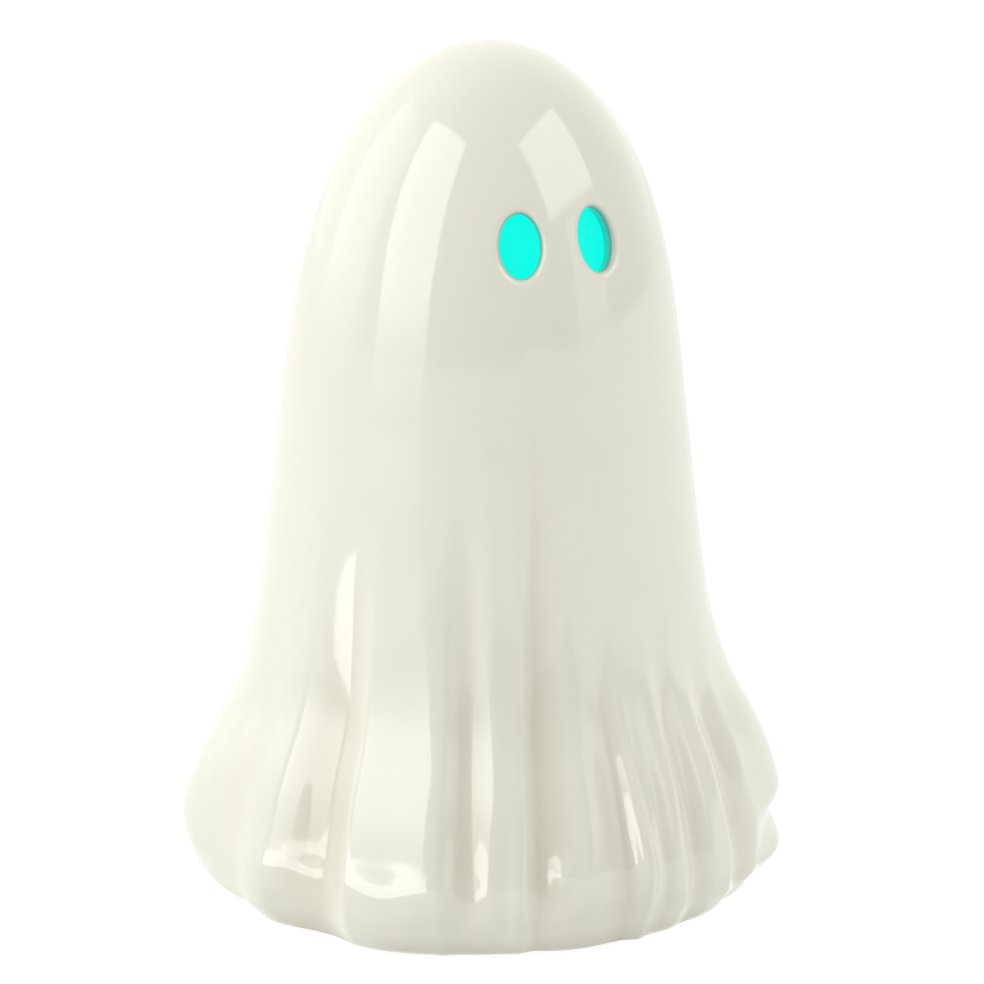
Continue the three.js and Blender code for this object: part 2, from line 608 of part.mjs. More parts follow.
function switchCuts() {
  const { depth, halfWidth, halfLength } = SWITCH_RECESS;
  return [
    block(SWITCH_X - halfWidth, SWITCH_X + halfWidth, -halfLength, halfLength,
      FLANGE_Z - MERGE, FLANGE_Z + depth),
    block(SWITCH_X - KNOB_SLOT_HALF_WIDTH, SWITCH_X + KNOB_SLOT_HALF_WIDTH,
      -KNOB_SLOT_HALF_LENGTH, KNOB_SLOT_HALF_LENGTH, FLANGE_Z, SWITCH_Z + MERGE),
  ];
}

// Flange and cup in one moulding, with a bead over the gasket, the battery tray, the switch's seat,
// and bosses for the cover's and the board's screws.
function lightHousing() {
  const beadRoot = CUP_RADIUS - CUP_WALL / 2;
  const beadZ = GASKET_TOP_Z + CLEARANCE;
  const flange = [
    [0, FLANGE_Z],
    [FLANGE_RADIUS, FLANGE_Z],
    [FLANGE_RADIUS, FLANGE_TOP_Z],
    [0, FLANGE_TOP_Z],
  ];
  const bead = [
    [beadRoot, beadZ],
    [CUP_RADIUS, beadZ],
    [CUP_RADIUS + BEAD, beadZ + BEAD],
    [CUP_RADIUS, beadZ + 2 * BEAD],
    [beadRoot, beadZ + 2 * BEAD],
    [beadRoot, beadZ],
  ];
  const bosses = spots(COVER_BOSS_ANGLES, COVER_BOSS_CIRCLE);
  const boss = ([x, y]) => {
    const overTray = Math.abs(y) > TRAY_HALF_LENGTH - BOSS_RADIUS;
    return cylinder(x, y, BOSS_RADIUS, overTray ? ROOF_Z + MERGE / 5 : FLANGE_TOP_Z, CUP_TOP_Z);
  };
  const post = (spot) =>
    cylinder(...spot, BOARD_POST_RADIUS, ROOF_Z + MERGE, ROOF_TOP_Z + BOARD_POST_HEIGHT);
  const bore = SCREW.shankRadius + CLEARANCE;
  const postBoreZ = BOARD_PART_Z - BOARD_SCREW_REACH - MERGE;
  const added = [
    turned(flange),
    turned(ringSection(CUP_INNER_RADIUS, CUP_RADIUS, FLANGE_Z + MERGE, CUP_TOP_Z)),
    turned(bead),
    ...trayShapes(),
    ...switchSeat(),
    ...bosses.map(boss),
    ...BOARD_SCREW_PLACES.map(post),
  ];
  const removed = [
    ...trayCuts(),
    ...switchCuts(),
    ...bosses.map((spot) =>
      cylinder(...spot, bore, CUP_TOP_Z - SCREW.length, CUP_TOP_Z + MERGE)),
    ...BOARD_SCREW_PLACES.map((spot) => cylinder(...spot, bore, postBoreZ, BOARD_Z)),
  ];
  return shaped(added, removed);
}

function housingGasket() {
  const inner = CUP_RADIUS + CLEARANCE;
  const sleeve = inner + GASKET_SLEEVE;
  const tip = OPENING_RADIUS - CLEARANCE;
  const pitch = GASKET_HEIGHT / GASKET_FINS;
  const section = [[inner, GASKET_Z], [sleeve, GASKET_Z]];
  for (let i = 0; i < GASKET_FINS; i++) {
    const z = GASKET_Z + i * pitch;
    section.push([sleeve, z + pitch * 0.2], [tip, z + pitch * 0.45], [tip, z + pitch * 0.6]);
    section.push([sleeve, z + pitch * 0.8]);
  }
  section.push([sleeve, GASKET_TOP_Z], [inner, GASKET_TOP_Z], [inner, GASKET_Z]);
  return turned(section);
}

function topCover() {
  const spigot = CUP_INNER_RADIUS - CLEARANCE;
  const hole = DOME_RADIUS + CLEARANCE;
  const section = [
    [hole, COVER_Z],
    [spigot - COVER_SPIGOT_WALL, COVER_Z],
    [spigot - COVER_SPIGOT_WALL, COVER_Z - COVER_SPIGOT],
    [spigot, COVER_Z - COVER_SPIGOT],
    [spigot, COVER_Z],
    [CUP_RADIUS, COVER_Z],
    [CUP_RADIUS, COVER_TOP_Z - COVER_EDGE],
    [CUP_RADIUS - COVER_EDGE, COVER_TOP_Z],
    [hole, COVER_TOP_Z],
    [hole, COVER_Z],
  ];
  const screwHoles = spots(COVER_BOSS_ANGLES, COVER_BOSS_CIRCLE).map((spot) =>
    cylinder(...spot, SCREW.shankRadius + CLEARANCE, COVER_Z - MERGE, COVER_TOP_Z + MERGE));
  return shaped([turned(section)], screwHoles);
}

// Frosted dome over the lamps, with a flange on the cover and a spigot in its hole.
function diffuserDome() {
  const flangeZ = COVER_TOP_Z + CLEARANCE;
  const spigotZ = COVER_Z + CLEARANCE;
  const shoulderZ = flangeZ + DOME_SHOULDER;
  const innerRadius = DOME_RADIUS - DOME_WALL;
  const rise = DOME_HEIGHT - DOME_SHOULDER;
  const arcSteps = 4;
  const outer = [];
  const inner = [];
  for (let i = 0; i < arcSteps; i++) {
    const a = (i / arcSteps) * Math.PI / 2;
    outer.push([DOME_RADIUS * Math.cos(a), shoulderZ + rise * Math.sin(a)]);
    inner.push([innerRadius * Math.cos(a), shoulderZ + (rise - DOME_WALL) * Math.sin(a)]);
  }
  const section = [
    [innerRadius, spigotZ],
    [DOME_RADIUS, spigotZ],
    [DOME_RADIUS, flangeZ],
    [DOME_RADIUS + DOME_FLANGE, flangeZ],
    [DOME_RADIUS + DOME_FLANGE, flangeZ + DOME_FLANGE_THICKNESS],
    [DOME_RADIUS, flangeZ + DOME_FLANGE_THICKNESS],
    ...outer,
    [0, shoulderZ + rise],
    [0, shoulderZ + rise - DOME_WALL],
    ...inner.reverse(),
    [innerRadius, spigotZ],
  ];
  return turned(section, 20);
}

// A pan-head screw that points down, or up when flipped, with a cross recess in its head.
function screw(x, y, seatZ, { up = false, reach = SCREW.length } = {}) {
  const { headRadius, headHeight, shankRadius, slot } = SCREW;
  const body = turned([
    [0, -reach],
    [shankRadius * 0.4, -reach],
    [shankRadius, -reach + 1],
    [shankRadius, 0],
    [headRadius, 0],
    [headRadius, headHeight * 0.5],
    [headRadius * 0.7, headHeight],
    [0, headHeight],
  ], 10);
  const bar = headRadius * 0.62;
  const cross = [
    block(-bar, bar, -slot / 2, slot / 2, headHeight * 0.5, headHeight + MERGE),
    block(-slot / 2, slot / 2, -bar, bar, headHeight * 0.5, headHeight + MERGE),
  ];
  const geometry = shaped([body], cross);
  if (up) geometry.rotateX(Math.PI);
  return geometry.translate(x, y, seatZ);
}

function circuitBoard() {
  const outline = new THREE.Shape();
  const w = BOARD.width / 2;
  const d = BOARD.depth / 2;
  const c = BOARD.corner;
  outline.moveTo(-w + c, -d);
  outline.lineTo(w - c, -d);
  outline.absarc(w - c, -d + c, c, -Math.PI / 2, 0);
  outline.lineTo(w, d - c);
  outline.absarc(w - c, d - c, c, 0, Math.PI / 2);
  outline.lineTo(-w + c, d);
  outline.absarc(-w + c, d - c, c, Math.PI / 2, Math.PI);
  outline.lineTo(-w, -d + c);
  outline.absarc(-w + c, -d + c, c, Math.PI, Math.PI * 1.5);
  for (const [x, y] of BOARD_SCREW_PLACES) {
    const hole = new THREE.Path();
    hole.absarc(x, y, SCREW.shankRadius + CLEARANCE, 0, Math.PI * 2);
    outline.holes.push(hole);
  }
  const options = { depth: BOARD.thickness, bevelEnabled: false, curveSegments: 4 };
  return new THREE.ExtrudeGeometry(outline, options).translate(0, 0, BOARD_Z);
}

function ledLamp(angle) {
  const [[x, y]] = spots([angle], LED_RING_RADIUS);
  const r = LED.diameter / 2;
  const domeZ = LED.height - r;
  const section = [
    [0, 0],
    [LED.rimDiameter / 2, 0],
    [LED.rimDiameter / 2, LED.rimHeight],
    [r, LED.rimHeight],
    [r, domeZ],
    [r * 0.87, domeZ + r * 0.5],
    [r * 0.5, domeZ + r * 0.87],
    [0, LED.height],
  ];
  return turned(section, 14).translate(x, y, BOARD_PART_Z);
}

// The chip's body, and legs that step out of its sides and down to the board.
function controlChip() {
  const { length, width, height, legs, legPitch, legReach } = CHIP;
  const leg = { half: 0.2, knee: 0.45 * legReach, top: 0.5 * height, foot: 0.3, sunk: 0.2 };
  const shapes = [block(-length / 2, length / 2, -width / 2, width / 2, leg.foot - 0.1, height)];
  for (let i = 0; i < legs; i++) {
    const x = (i - (legs - 1) / 2) * legPitch;
    for (const side of [-1, 1]) {
      const root = side * (width / 2 - leg.sunk);
      const toe = side * (width / 2 + legReach);
      const knee = side * (width / 2 + leg.knee);
      shapes.push(
        block(x - leg.half, x + leg.half, Math.min(root, knee), Math.max(root, knee), 0, leg.top),
        block(x - leg.half, x + leg.half, Math.min(root, toe), Math.max(root, toe), 0, leg.foot),
      );
    }
  }
  return shaped(shapes).rotateZ(Math.PI / 2).translate(...CHIP_PLACE, BOARD_PART_Z);
}

// A wire-ended resistor lying on the board, its ends bent down.
function resistor(i) {
  const { length, diameter, wire, span } = RESISTOR;
  const r = diameter / 2;
  const section = [
    [0, -length / 2],
    [r * 0.8, -length / 2],
    [r, -length * 0.4],
    [r, -length * 0.26],
    [r * 0.82, -length * 0.2],
    [r * 0.82, length * 0.2],
    [r, length * 0.26],
    [r, length * 0.4],
    [r * 0.8, length / 2],
    [0, length / 2],
  ];
  const middle = r + wire / 3;
  const half = wire / 2;
  const body = turned(section, 12).rotateX(Math.PI / 2).translate(0, 0, middle);
  const bar = block(-half, half, -span / 2, span / 2, middle - half, middle + half);
  const legs = [-1, 1].map((side) => {
    const y = side * (span / 2 - half);
    return block(-half, half, y - half, y + half, 0, middle);
  });
  const [x, y] = RESISTOR_PLACE;
  const along = y + (i - (RESISTOR_COUNT - 1) / 2) * RESISTOR_PITCH;
  return shaped([body, bar, ...legs]).rotateZ(Math.PI / 2).translate(x, along, BOARD_PART_Z);
}

// Cells, with the nub at the end that cellPoints says.
function batteryCell(i) {
  const r = CELL.diameter / 2;
  const nub = CELL.nubDiameter / 2;
  const body = CELL.length - CELL.nubHeight;
  const section = [
    [0, 0],
    [r - 0.6, 0],
    [r, 0.6],
    [r, body - 0.6],
    [r - 0.6, body],
    [nub, body],
    [nub, CELL.length - 0.2],
    [nub - 0.2, CELL.length],
    [0, CELL.length],
  ];
  const geometry = turned(section, 16)
    .rotateX(-Math.PI / 2)
    .translate(0, NUB_END_Y - CELL.length, 0);
  if (cellPoints(i) < 0) geometry.rotateZ(Math.PI);
  return geometry.translate(cellX(i), 0, CELL_Z);
}

// A conical coil that stands on a contact and pushes a cell along +Y, before it is turned into place.
const COIL_LENGTH = SPRING_ROOM - CLEARANCE - SPRING.wire / 2;

function coilPoint(turn) {
  const t = turn / SPRING.turns;
  const a = 2 * Math.PI * turn;
  const r = THREE.MathUtils.lerp(SPRING.baseRadius, SPRING.tipRadius, t);
  return point(r * Math.cos(a), t * COIL_LENGTH, r * Math.sin(a));
}

function coilSpring() {
  const sides = 5;
  const count = Math.round(SPRING.turns * COIL_STEPS);
  const rings = [];
  for (let i = 0; i <= count; i++) {
    const turn = i / COIL_STEPS;
    const a = 2 * Math.PI * turn;
    const centre = coilPoint(turn);
    const outward = point(Math.cos(a), 0, Math.sin(a));
    const along = point(0, 1, 0);
    rings.push(Array.from({ length: sides }, (_, k) => {
      const b = (2 * Math.PI * k) / sides;
      return centre.clone()
        .addScaledVector(outward, (SPRING.wire / 2) * Math.cos(b))
        .addScaledVector(along, (SPRING.wire / 2) * Math.sin(b));
    }));
  }
  return skin([[coilPoint(0)], ...rings, [coilPoint(SPRING.turns)]]);
}

// The least distance from one turn of the coil's wire to the next.
function coilGap() {
  let least = Infinity;
  const fine = 64;
  for (let i = 0; i <= SPRING.turns * fine; i++) {
    for (let k = i + fine / 2; k <= SPRING.turns * fine; k++) {
      least = Math.min(least, coilPoint(i / fine).distanceTo(coilPoint(k / fine)));
    }
  }
  return least - SPRING.wire;
}

// A sheet-metal contact for some cells at one end: a dimple meets a nub, a coil meets a flat end.
function contact(cells, end, withTab) {
  const left = cellX(Math.min(...cells)) - CONTACT_WIDTH / 2;
  const right = cellX(Math.max(...cells)) + CONTACT_WIDTH / 2;
  const face = end * CONTACT_FACE_Y;
  const rear = end * (CONTACT_FACE_Y + CONTACT_SHEET);
  const low = Math.min(face, rear);
  const high = Math.max(face, rear);
  const halfHeight = CONTACT_HEIGHT / 2;
  const shapes = [block(left, right, low, high, CELL_Z - halfHeight, CELL_Z + halfHeight)];
  const sink = CONTACT_SHEET / 2;
  for (const i of cells) {
    if (cellPoints(i) === end) {
      const dimple = turned([
        [0, -sink],
        [DIMPLE.baseRadius, -sink],
        [DIMPLE.baseRadius, 0],
        [DIMPLE.tipRadius, DIMPLE.height * 0.8],
        [0, DIMPLE.height],
      ], 12).rotateX(end * Math.PI / 2);
      shapes.push(dimple.translate(cellX(i), face, CELL_Z));
    } else {
      const coil = coilSpring();
      if (end > 0) coil.rotateZ(Math.PI);
      shapes.push(coil.translate(cellX(i), face, CELL_Z));
    }
  }
  if (withTab) {
    const x = cellX(cells[0]);
    const half = TAB_WIDTH / 2;
    shapes.push(block(x - half, x + half, low, high, CELL_Z, ROOF_TOP_Z + TAB_RISE));
  }
  return shaped(shapes);
}

function switchBody() {
  const { length, width, height } = SWITCH;
  const top = SWITCH_Z + height;
  const halfWidth = width / 2;
  const box = block(SWITCH_X - halfWidth, SWITCH_X + halfWidth, -length / 2, length / 2, SWITCH_Z, top);
  const halfSheet = SWITCH_PIN.sheet / 2;
  const halfPin = SWITCH_PIN.width / 2;
  const pins = [-1, 0, 1].map((i) => {
    const y = i * SWITCH_PIN.pitch;
    return block(SWITCH_X - halfSheet, SWITCH_X + halfSheet, y - halfPin, y + halfPin,
      top - MERGE, top + SWITCH_PIN.height);
  });
  const slot = block(SWITCH_X - KNOB_SLOT_HALF_WIDTH, SWITCH_X + KNOB_SLOT_HALF_WIDTH,
    -KNOB_SLOT_HALF_LENGTH, KNOB_SLOT_HALF_LENGTH, SWITCH_Z - MERGE, SWITCH_Z + 3 * MERGE);
  return shaped([box, ...pins], [slot]);
}

function switchKnob() {
  const capTop = FLANGE_Z + SWITCH_RECESS.depth - CLEARANCE;
  const capLow = capTop - KNOB.height;
  const { length, width, stem } = KNOB;
  const cap = block(SWITCH_X - width / 2, SWITCH_X + width / 2,
    KNOB_Y - length / 2, KNOB_Y + length / 2, capLow, capTop);
  const post = block(SWITCH_X - stem / 2, SWITCH_X + stem / 2,
    KNOB_Y - stem / 2, KNOB_Y + stem / 2, capTop - KNOB.height / 2, SWITCH_Z + 2 * MERGE);
  const { count, pitch, width: groove, depth } = KNOB_GROOVES;
  const grooves = Array.from({ length: count }, (_, i) => {
    const y = KNOB_Y + (i - (count - 1) / 2) * pitch;
    return block(SWITCH_X - width, SWITCH_X + width, y - groove / 2, y + groove / 2,
      capLow - MERGE, capLow + depth);
  });
  return shaped([cap, post], grooves);
}

const DOOR_SCREW_RECESS_Z = FLANGE_Z + SCREW.headHeight + MERGE / 5; // where its head seats

function batteryDoor() {
  const w = DOOR_HALF_WIDTH;
  const l = DOOR_HALF_LENGTH;
  const plate = block(-w, w, -l, l, FLANGE_Z, DOOR_TOP_Z);
  const tongue = block(TONGUE_END_X, -w + MERGE, -TONGUE_HALF_WIDTH, TONGUE_HALF_WIDTH,
    FLANGE_Z, TONGUE_TOP_Z);
  const clearOfLedge = block(-w - 2 * CLEARANCE, -w + 2 * MERGE, -l, l,
    DOOR_TOP_Z, TONGUE_TOP_Z + MERGE);
  const hooks = HOOK_PLACES.flatMap((y) => {
    const y0 = y - HOOK_HALF_WIDTH;
    const y1 = y + HOOK_HALF_WIDTH;
    return [
      block(w - HOOK_SHEET, w, y0, y1, DOOR_TOP_Z - MERGE, HOOK_TOP_Z),
      block(w - HOOK_SHEET / 2, w + HOOK_REACH, y0, y1, HOOK_Z, HOOK_TOP_Z),
    ];
  });
  const side = DOOR_BEVEL / Math.SQRT2;
  const bevel = block(-side, side, -l - MERGE, l + MERGE, -side, side)
    .rotateY(Math.PI / 4)
    .translate(w, 0, FLANGE_Z);
  const headBore = SCREW.headRadius + CLEARANCE;
  const shankBore = SCREW.shankRadius + CLEARANCE;
  const screwSeat = [
    cylinder(DOOR_SCREW_X, 0, headBore, FLANGE_Z - MERGE, DOOR_SCREW_RECESS_Z),
    cylinder(DOOR_SCREW_X, 0, shankBore, FLANGE_Z, TONGUE_TOP_Z + MERGE),
  ];
  return shaped([plate, tongue, ...hooks], [clearOfLedge, bevel, ...screwSeat]);
}

// Leads, each a list of places that it passes on its way
const TAB_TOP_Z = ROOF_TOP_Z + TAB_RISE + CLEARANCE;
const PIN_TOP_Z = SWITCH_Z + SWITCH.height + SWITCH_PIN.height + CLEARANCE;
const TAB_Y = CONTACT_FACE_Y + CONTACT_SHEET / 2;
const PIN_Y = SWITCH_PIN.pitch;
const LAST = CELL_COUNT - 1;
const SIDE = BOARD.width / 2;
const END = BOARD.depth / 2;
const [ROUND_THE_BOARD] = spots([WIRE_CIRCLE_ANGLE], WIRE_CIRCLE);
const LEADS = {
  lead_battery_positive: [
    point(cellX(LAST), TAB_Y, TAB_TOP_Z),
    point(cellX(LAST) + 1, TAB_Y - 0.8, TAB_TOP_Z + 1.8),
    point(...ROUND_THE_BOARD, TAB_TOP_Z + 1.4),
    point(SWITCH_X - 2, PIN_Y + 9.5, PIN_TOP_Z + 4.8),
    point(SWITCH_X, PIN_Y + 1, PIN_TOP_Z + 2.6),
    point(SWITCH_X, PIN_Y, PIN_TOP_Z),
  ],
  lead_switch: [
    point(SWITCH_X, -PIN_Y, PIN_TOP_Z),
    point(SWITCH_X - 0.4, -PIN_Y - 1.5, PIN_TOP_Z + 2.2),
    point(SIDE + 5.5, -END / 2 + 0.4, BOARD_PART_Z - 2),
    point(SIDE + 2.6, -END / 2, BOARD_PART_Z + 1.4),
    point(SIDE - 0.2, -END / 2, BOARD_PART_Z + 1.8),
    point(SIDE - 1.4, -END / 2, BOARD_PART_Z),
  ],
  lead_battery_negative: [
    point(cellX(0), -TAB_Y, TAB_TOP_Z),
    point(cellX(0) - 0.8, -TAB_Y + 1, TAB_TOP_Z + 1.8),
    point(-SIDE + 4, -END - 7, TAB_TOP_Z + 1.6),
    point(-SIDE + 3.2, -END - 1.5, BOARD_PART_Z + 1.8),
    point(-SIDE + 3, -END + 1.6, BOARD_PART_Z + 1.5),
    point(-SIDE + 3, -END + 2.6, BOARD_PART_Z),
  ],
};

// Finishes

const finish = (color, roughness, metalness = 0) =>
  new THREE.MeshStandardMaterial({ color, roughness, metalness });
const glaze = finish(0xeeeddf, 0.12);
const glow = finish(0x02fce7, 0.3);
glow.emissive = new THREE.Color(0x02fce7);
const finishes = {
  foam: finish(0xe8e6dc, 0.9),
  whitePlastic: finish(0xe9e9e4, 0.45),
  silicone: finish(0xdcded9, 0.5),
  frosted: finish(0xd8fbf6, 0.4),
  board: finish(0x1f6b3a, 0.5),
  blackPlastic: finish(0x1c1c1e, 0.5),
  steel: finish(0xb9bcc0, 0.3, 1),
  redWire: finish(0xb3201c, 0.5),
  blackWire: finish(0x17171a, 0.5),
  cell: finish(0x3d4a52, 0.35, 0.4),
  resistor: finish(0xd8bf94, 0.6),
};

// Assembly

const ghost = new THREE.Group();

function add(name, geometry, material) {
  const mesh = new THREE.Mesh(geometry, material);
  mesh.name = name;
  ghost.add(mesh);
  return mesh;
}

const shell = add("ceramic_shell", ceramicShell(), glaze);
add("eye_diffuser_left", eyeDiffuser(-1), glow);
add("eye_diffuser_right", eyeDiffuser(1), glow);
PAD_ANGLES.forEach((angle, i) => add(`foot_pad_${i + 1}`, footPad(angle), finishes.foam));

add("light_housing", lightHousing(), finishes.whitePlastic);
add("housing_gasket", housingGasket(), finishes.silicone);
add("top_cover", topCover(), finishes.whitePlastic);
spots(COVER_BOSS_ANGLES, COVER_BOSS_CIRCLE).forEach(([x, y], i) =>
  add(`cover_screw_${i + 1}`, screw(x, y, COVER_TOP_Z + CLEARANCE), finishes.steel));
add("diffuser_dome", diffuserDome(), finishes.frosted);
add("circuit_board", circuitBoard(), finishes.board);
BOARD_SCREW_PLACES.forEach(([x, y], i) =>
  add(`board_screw_${i + 1}`, screw(x, y, BOARD_PART_Z, { reach: BOARD_SCREW_REACH }),
    finishes.steel));
["led_red", "led_green", "led_blue"].forEach((name, i) =>
  add(name, ledLamp(90 + 120 * i), finishes.frosted));
add("control_chip", controlChip(), finishes.blackPlastic);
for (let i = 0; i < RESISTOR_COUNT; i++) {
  add(`resistor_${i + 1}`, resistor(i), finishes.resistor);
}
for (let i = 0; i < CELL_COUNT; i++) {
  add(`battery_${i + 1}`, batteryCell(i), finishes.cell);
}
add("contact_positive", contact([LAST], 1, true), finishes.steel);
add("contact_bridge_rear", contact([0, 1], 1, false), finishes.steel);
add("contact_bridge_front", contact([1, LAST], -1, false), finishes.steel);
add("contact_negative", contact([0], -1, true), finishes.steel);
add("switch_body", switchBody(), finishes.steel);
add("switch_knob", switchKnob(), finishes.blackPlastic);
add("battery_door", batteryDoor(), finishes.whitePlastic);
const doorScrew = { up: true, reach: DOOR_SCREW_REACH };
add("door_screw", screw(DOOR_SCREW_X, 0, DOOR_SCREW_RECESS_Z - CLEARANCE, doorScrew),
  finishes.steel);
for (const [name, points] of Object.entries(LEADS)) {
  const colour = name === "lead_battery_negative" ? finishes.blackWire : finishes.redWire;
  add(name, wireThrough(points, WIRE_DIAMETER, WIRE_STEPS), colour);
}

// The origin is the middle of the footprint, which the folds make uneven round the body's axis.
shell.geometry.computeBoundingBox();
const middle = shell.geometry.boundingBox.getCenter(new THREE.Vector3());
ghost.position.set(-middle.x, -middle.y, 0);

console.log(`battery spring: ${SPRING.turns} turns, least gap to itself ${coilGap().toFixed(2)} mm`);

export default ghost;
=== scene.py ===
"""A light-up ghost: a hollow glazed ceramic figure of a draped sheet, lit from inside.

The surfaces are worked out with numpy, in millimetres round the body's own axis, from the same sizes
as the solid model, and are put into the shared frame in metres.
"""
import math
from types import SimpleNamespace

import bpy
import numpy as np
from bpy.props import FloatProperty, FloatVectorProperty, IntProperty, PointerProperty
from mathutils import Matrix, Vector


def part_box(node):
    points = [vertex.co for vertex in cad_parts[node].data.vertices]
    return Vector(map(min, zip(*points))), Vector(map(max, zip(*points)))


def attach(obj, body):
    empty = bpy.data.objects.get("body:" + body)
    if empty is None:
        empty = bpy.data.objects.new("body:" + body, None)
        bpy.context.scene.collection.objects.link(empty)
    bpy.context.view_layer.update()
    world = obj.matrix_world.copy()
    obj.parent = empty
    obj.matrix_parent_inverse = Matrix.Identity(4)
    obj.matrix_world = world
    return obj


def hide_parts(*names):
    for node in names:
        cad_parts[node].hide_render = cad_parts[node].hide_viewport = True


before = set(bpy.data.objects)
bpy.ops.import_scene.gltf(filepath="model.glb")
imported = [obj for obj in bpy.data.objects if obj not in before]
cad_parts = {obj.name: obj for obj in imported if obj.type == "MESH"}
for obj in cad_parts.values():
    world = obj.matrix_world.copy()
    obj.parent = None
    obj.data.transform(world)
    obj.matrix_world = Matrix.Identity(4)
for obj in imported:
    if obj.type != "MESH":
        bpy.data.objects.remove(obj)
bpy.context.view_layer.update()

bl_info = {
    "name": "Light-up ghost",
    "version": (1, 0, 0),
    "blender": (4, 5, 0),
    "location": "3D View > Sidebar > Ghost",
    "description": "Builds a glazed ceramic ghost with lit eyes and a battery light unit in its base",
    "category": "Add Mesh",
}

MM = 0.001
HEIGHT_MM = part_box("ceramic_shell")[1].z / MM
# Where the body's axis stands: the folds make the footprint uneven round it. The dome is on it.
AXIS_MM = tuple(float(low + high) / 2 / MM for low, high in zip(*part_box("diffuser_dome")))[:2]

# The folds of the sheet. at: degrees round the axis from the face at the hem, positive towards +X.
# lean: degrees that it has turned by its top end. left, right: half widths in degrees. depth: mm
# pressed in, negative for a ridge. top: height in mm where it fades out. edge_left, edge_right: how
# crisp its edges are, from 0 to 1. foot: share of it that is left at the foot.
FOLDS = np.array([
    # at, lean, left, right, depth, top, edge_left, edge_right, foot
    (-60, -1.5, 13, 7.6, 5, 112, 0.1, 0.7, 0.4),
    (-34, -1, 11, 3.6, -1.3, 104, 0, 0, 0.6),
    (-28.3, -1.5, 5.4, 6.2, 3.2, 122, 0.2, 0.3, 0.5),
    (-21.5, 0, 3.6, 3.6, 1, 42, 0, 0, 0.3),
    (-14, 4.4, 3.6, 10, 3.7, 155, 0.7, 0, 0.5),
    (4, 2, 9, 3, 2.4, 86, 0, 0, 0.3),
    (7.8, -3, 2.6, 2.8, -2.4, 82, 0, 0, 0.3),
    (12.4, 0, 2.2, 2.6, 1, 60, 0, 0, 0.3),
    (21.3, 2, 5, 5, 2.3, 84, 0, 0, 0.3),
    (37.3, -1, 6.5, 8, 3.3, 70, 0, 0, 0.3),
    (93, -3, 9, 9, 3.8, 96, 0.2, 0, 0.4),
    (115, 4, 9, 10, 4.2, 118, 0.5, 0, 0.5),
    (136, 0, 8, 7, 3, 92, 0, 0.5, 0.4),
    (157, -4, 11, 9, 4.6, 128, 0, 0.4, 0.6),
    (185, 3, 8, 8, 3, 100, 0.4, 0.4, 0.5),
    (210, 0, 10, 11, 4.4, 116, 0, 0.3, 0.6),
    (236, 4, 9, 10, 3.5, 104, 0.5, 0, 0.5),
    (275.3, -3, 10, 9, 1.2, 92, 0, 0, 0.4),
    (254.3, 0, 18, 16, -3.6, 44, 0, 0, 0.3),
    (63.3, 0, 18, 16, -3.4, 72, 0, 0, 0.3),
], float)

# Where the hem hangs higher or lower than its folds alone would leave it: angle, half width, lift.
HEM_WAVES = np.array([
    (-87, 20, -3), (-62, 12, -1.4), (-44.7, 14, -1), (-17, 9, -2), (3, 17, 4.2),
    (37, 13, -2), (119, 20, 3), (168, 18, -2.5), (219, 18, 3),
], float)

# Short creases across the folds' run: angle, height, half width in degrees, half height, depth.
NOTCHES = np.array([
    (60, 14.5, 18, 8, 2.8),
    (62, 4.5, 22, 8.5, -2.2),
    (-9.6, 20, 3.4, 6, -1.8),
    (-45, 4, 12, 18, -1.6),
    (-28.5, 4, 7, 18, -1.8),
    (-11, 5, 7, 15, -1.2),
    (-74, 8, 8, 18, -1),
], float)

# Lamps that light the ghost and don't show in its glaze: azimuth and elevation in degrees, size in
# metres, radiance.
SOFT_LIGHTS = (
    ("left_softbox", -85.7, 29, (1.05, 1.15), 1.06),
    ("left_rear_panel", -124, 20, (0.7, 1.0), 0.4),
    ("right_softbox", 41, 42, (0.95, 0.75), 0.42),
    ("right_panel", 62, 12, (0.7, 0.8), 1.15),
    ("top_panel", -18, 64, (0.9, 0.9), 0.75),
)
SOFT_DISTANCE = 1.1

# Lamps that only show in its glaze: the same, then over what share of the height the lower edge
# fades. They stand a little nearer, because two lamps in one place hide each other.
REFLECTED_LIGHTS = (
    ("left_shine", -75, 23.5, (0.66, 1.4), 2.6, 0.32),
    ("left_rear_shine", -124, 20, (0.7, 1.0), 0.7, 0.3),
    ("right_shine", 41, 39.5, (0.76, 0.62), 2.1, 0.1),
    ("right_lower_shine", 42, 8, (0.4, 0.5), 0.8, 0.3),
)
SHINE_DISTANCE = 1.05

# A low lamp that shows in the glaze of the hem: azimuth, distance, height, size, radiance.
LOW_SHINE = ("low_left_shine", -72, 0.27, 0.022, (0.22, 0.04), 3.2)
HEAD_HEIGHT = 0.15  # the height in metres that the other lamps look at
FLOOR_SIZE = 8000

DEEP_FOLD = 5  # mm of fold depth where the pooled glaze and painted shade in the folds are fullest
EYE_SPAN = (2.2, 27)  # degrees from the face between which the grid is woven anew round an eye
EYE_REACH = 14  # and how far it is above and below the eye, in mm


def mm(name, description, default):
    """A length that is set in millimetres and kept as a plain number of them."""
    return FloatProperty(name=name, description=description + ", in millimetres", default=default)


def number(name, description, default, **unit):
    return FloatProperty(name=name, description=description, default=default, **unit)


def colour(name, description, default):
    return FloatVectorProperty(name=name, description=description, default=default, subtype="COLOR",
                               size=3, min=0, max=1)


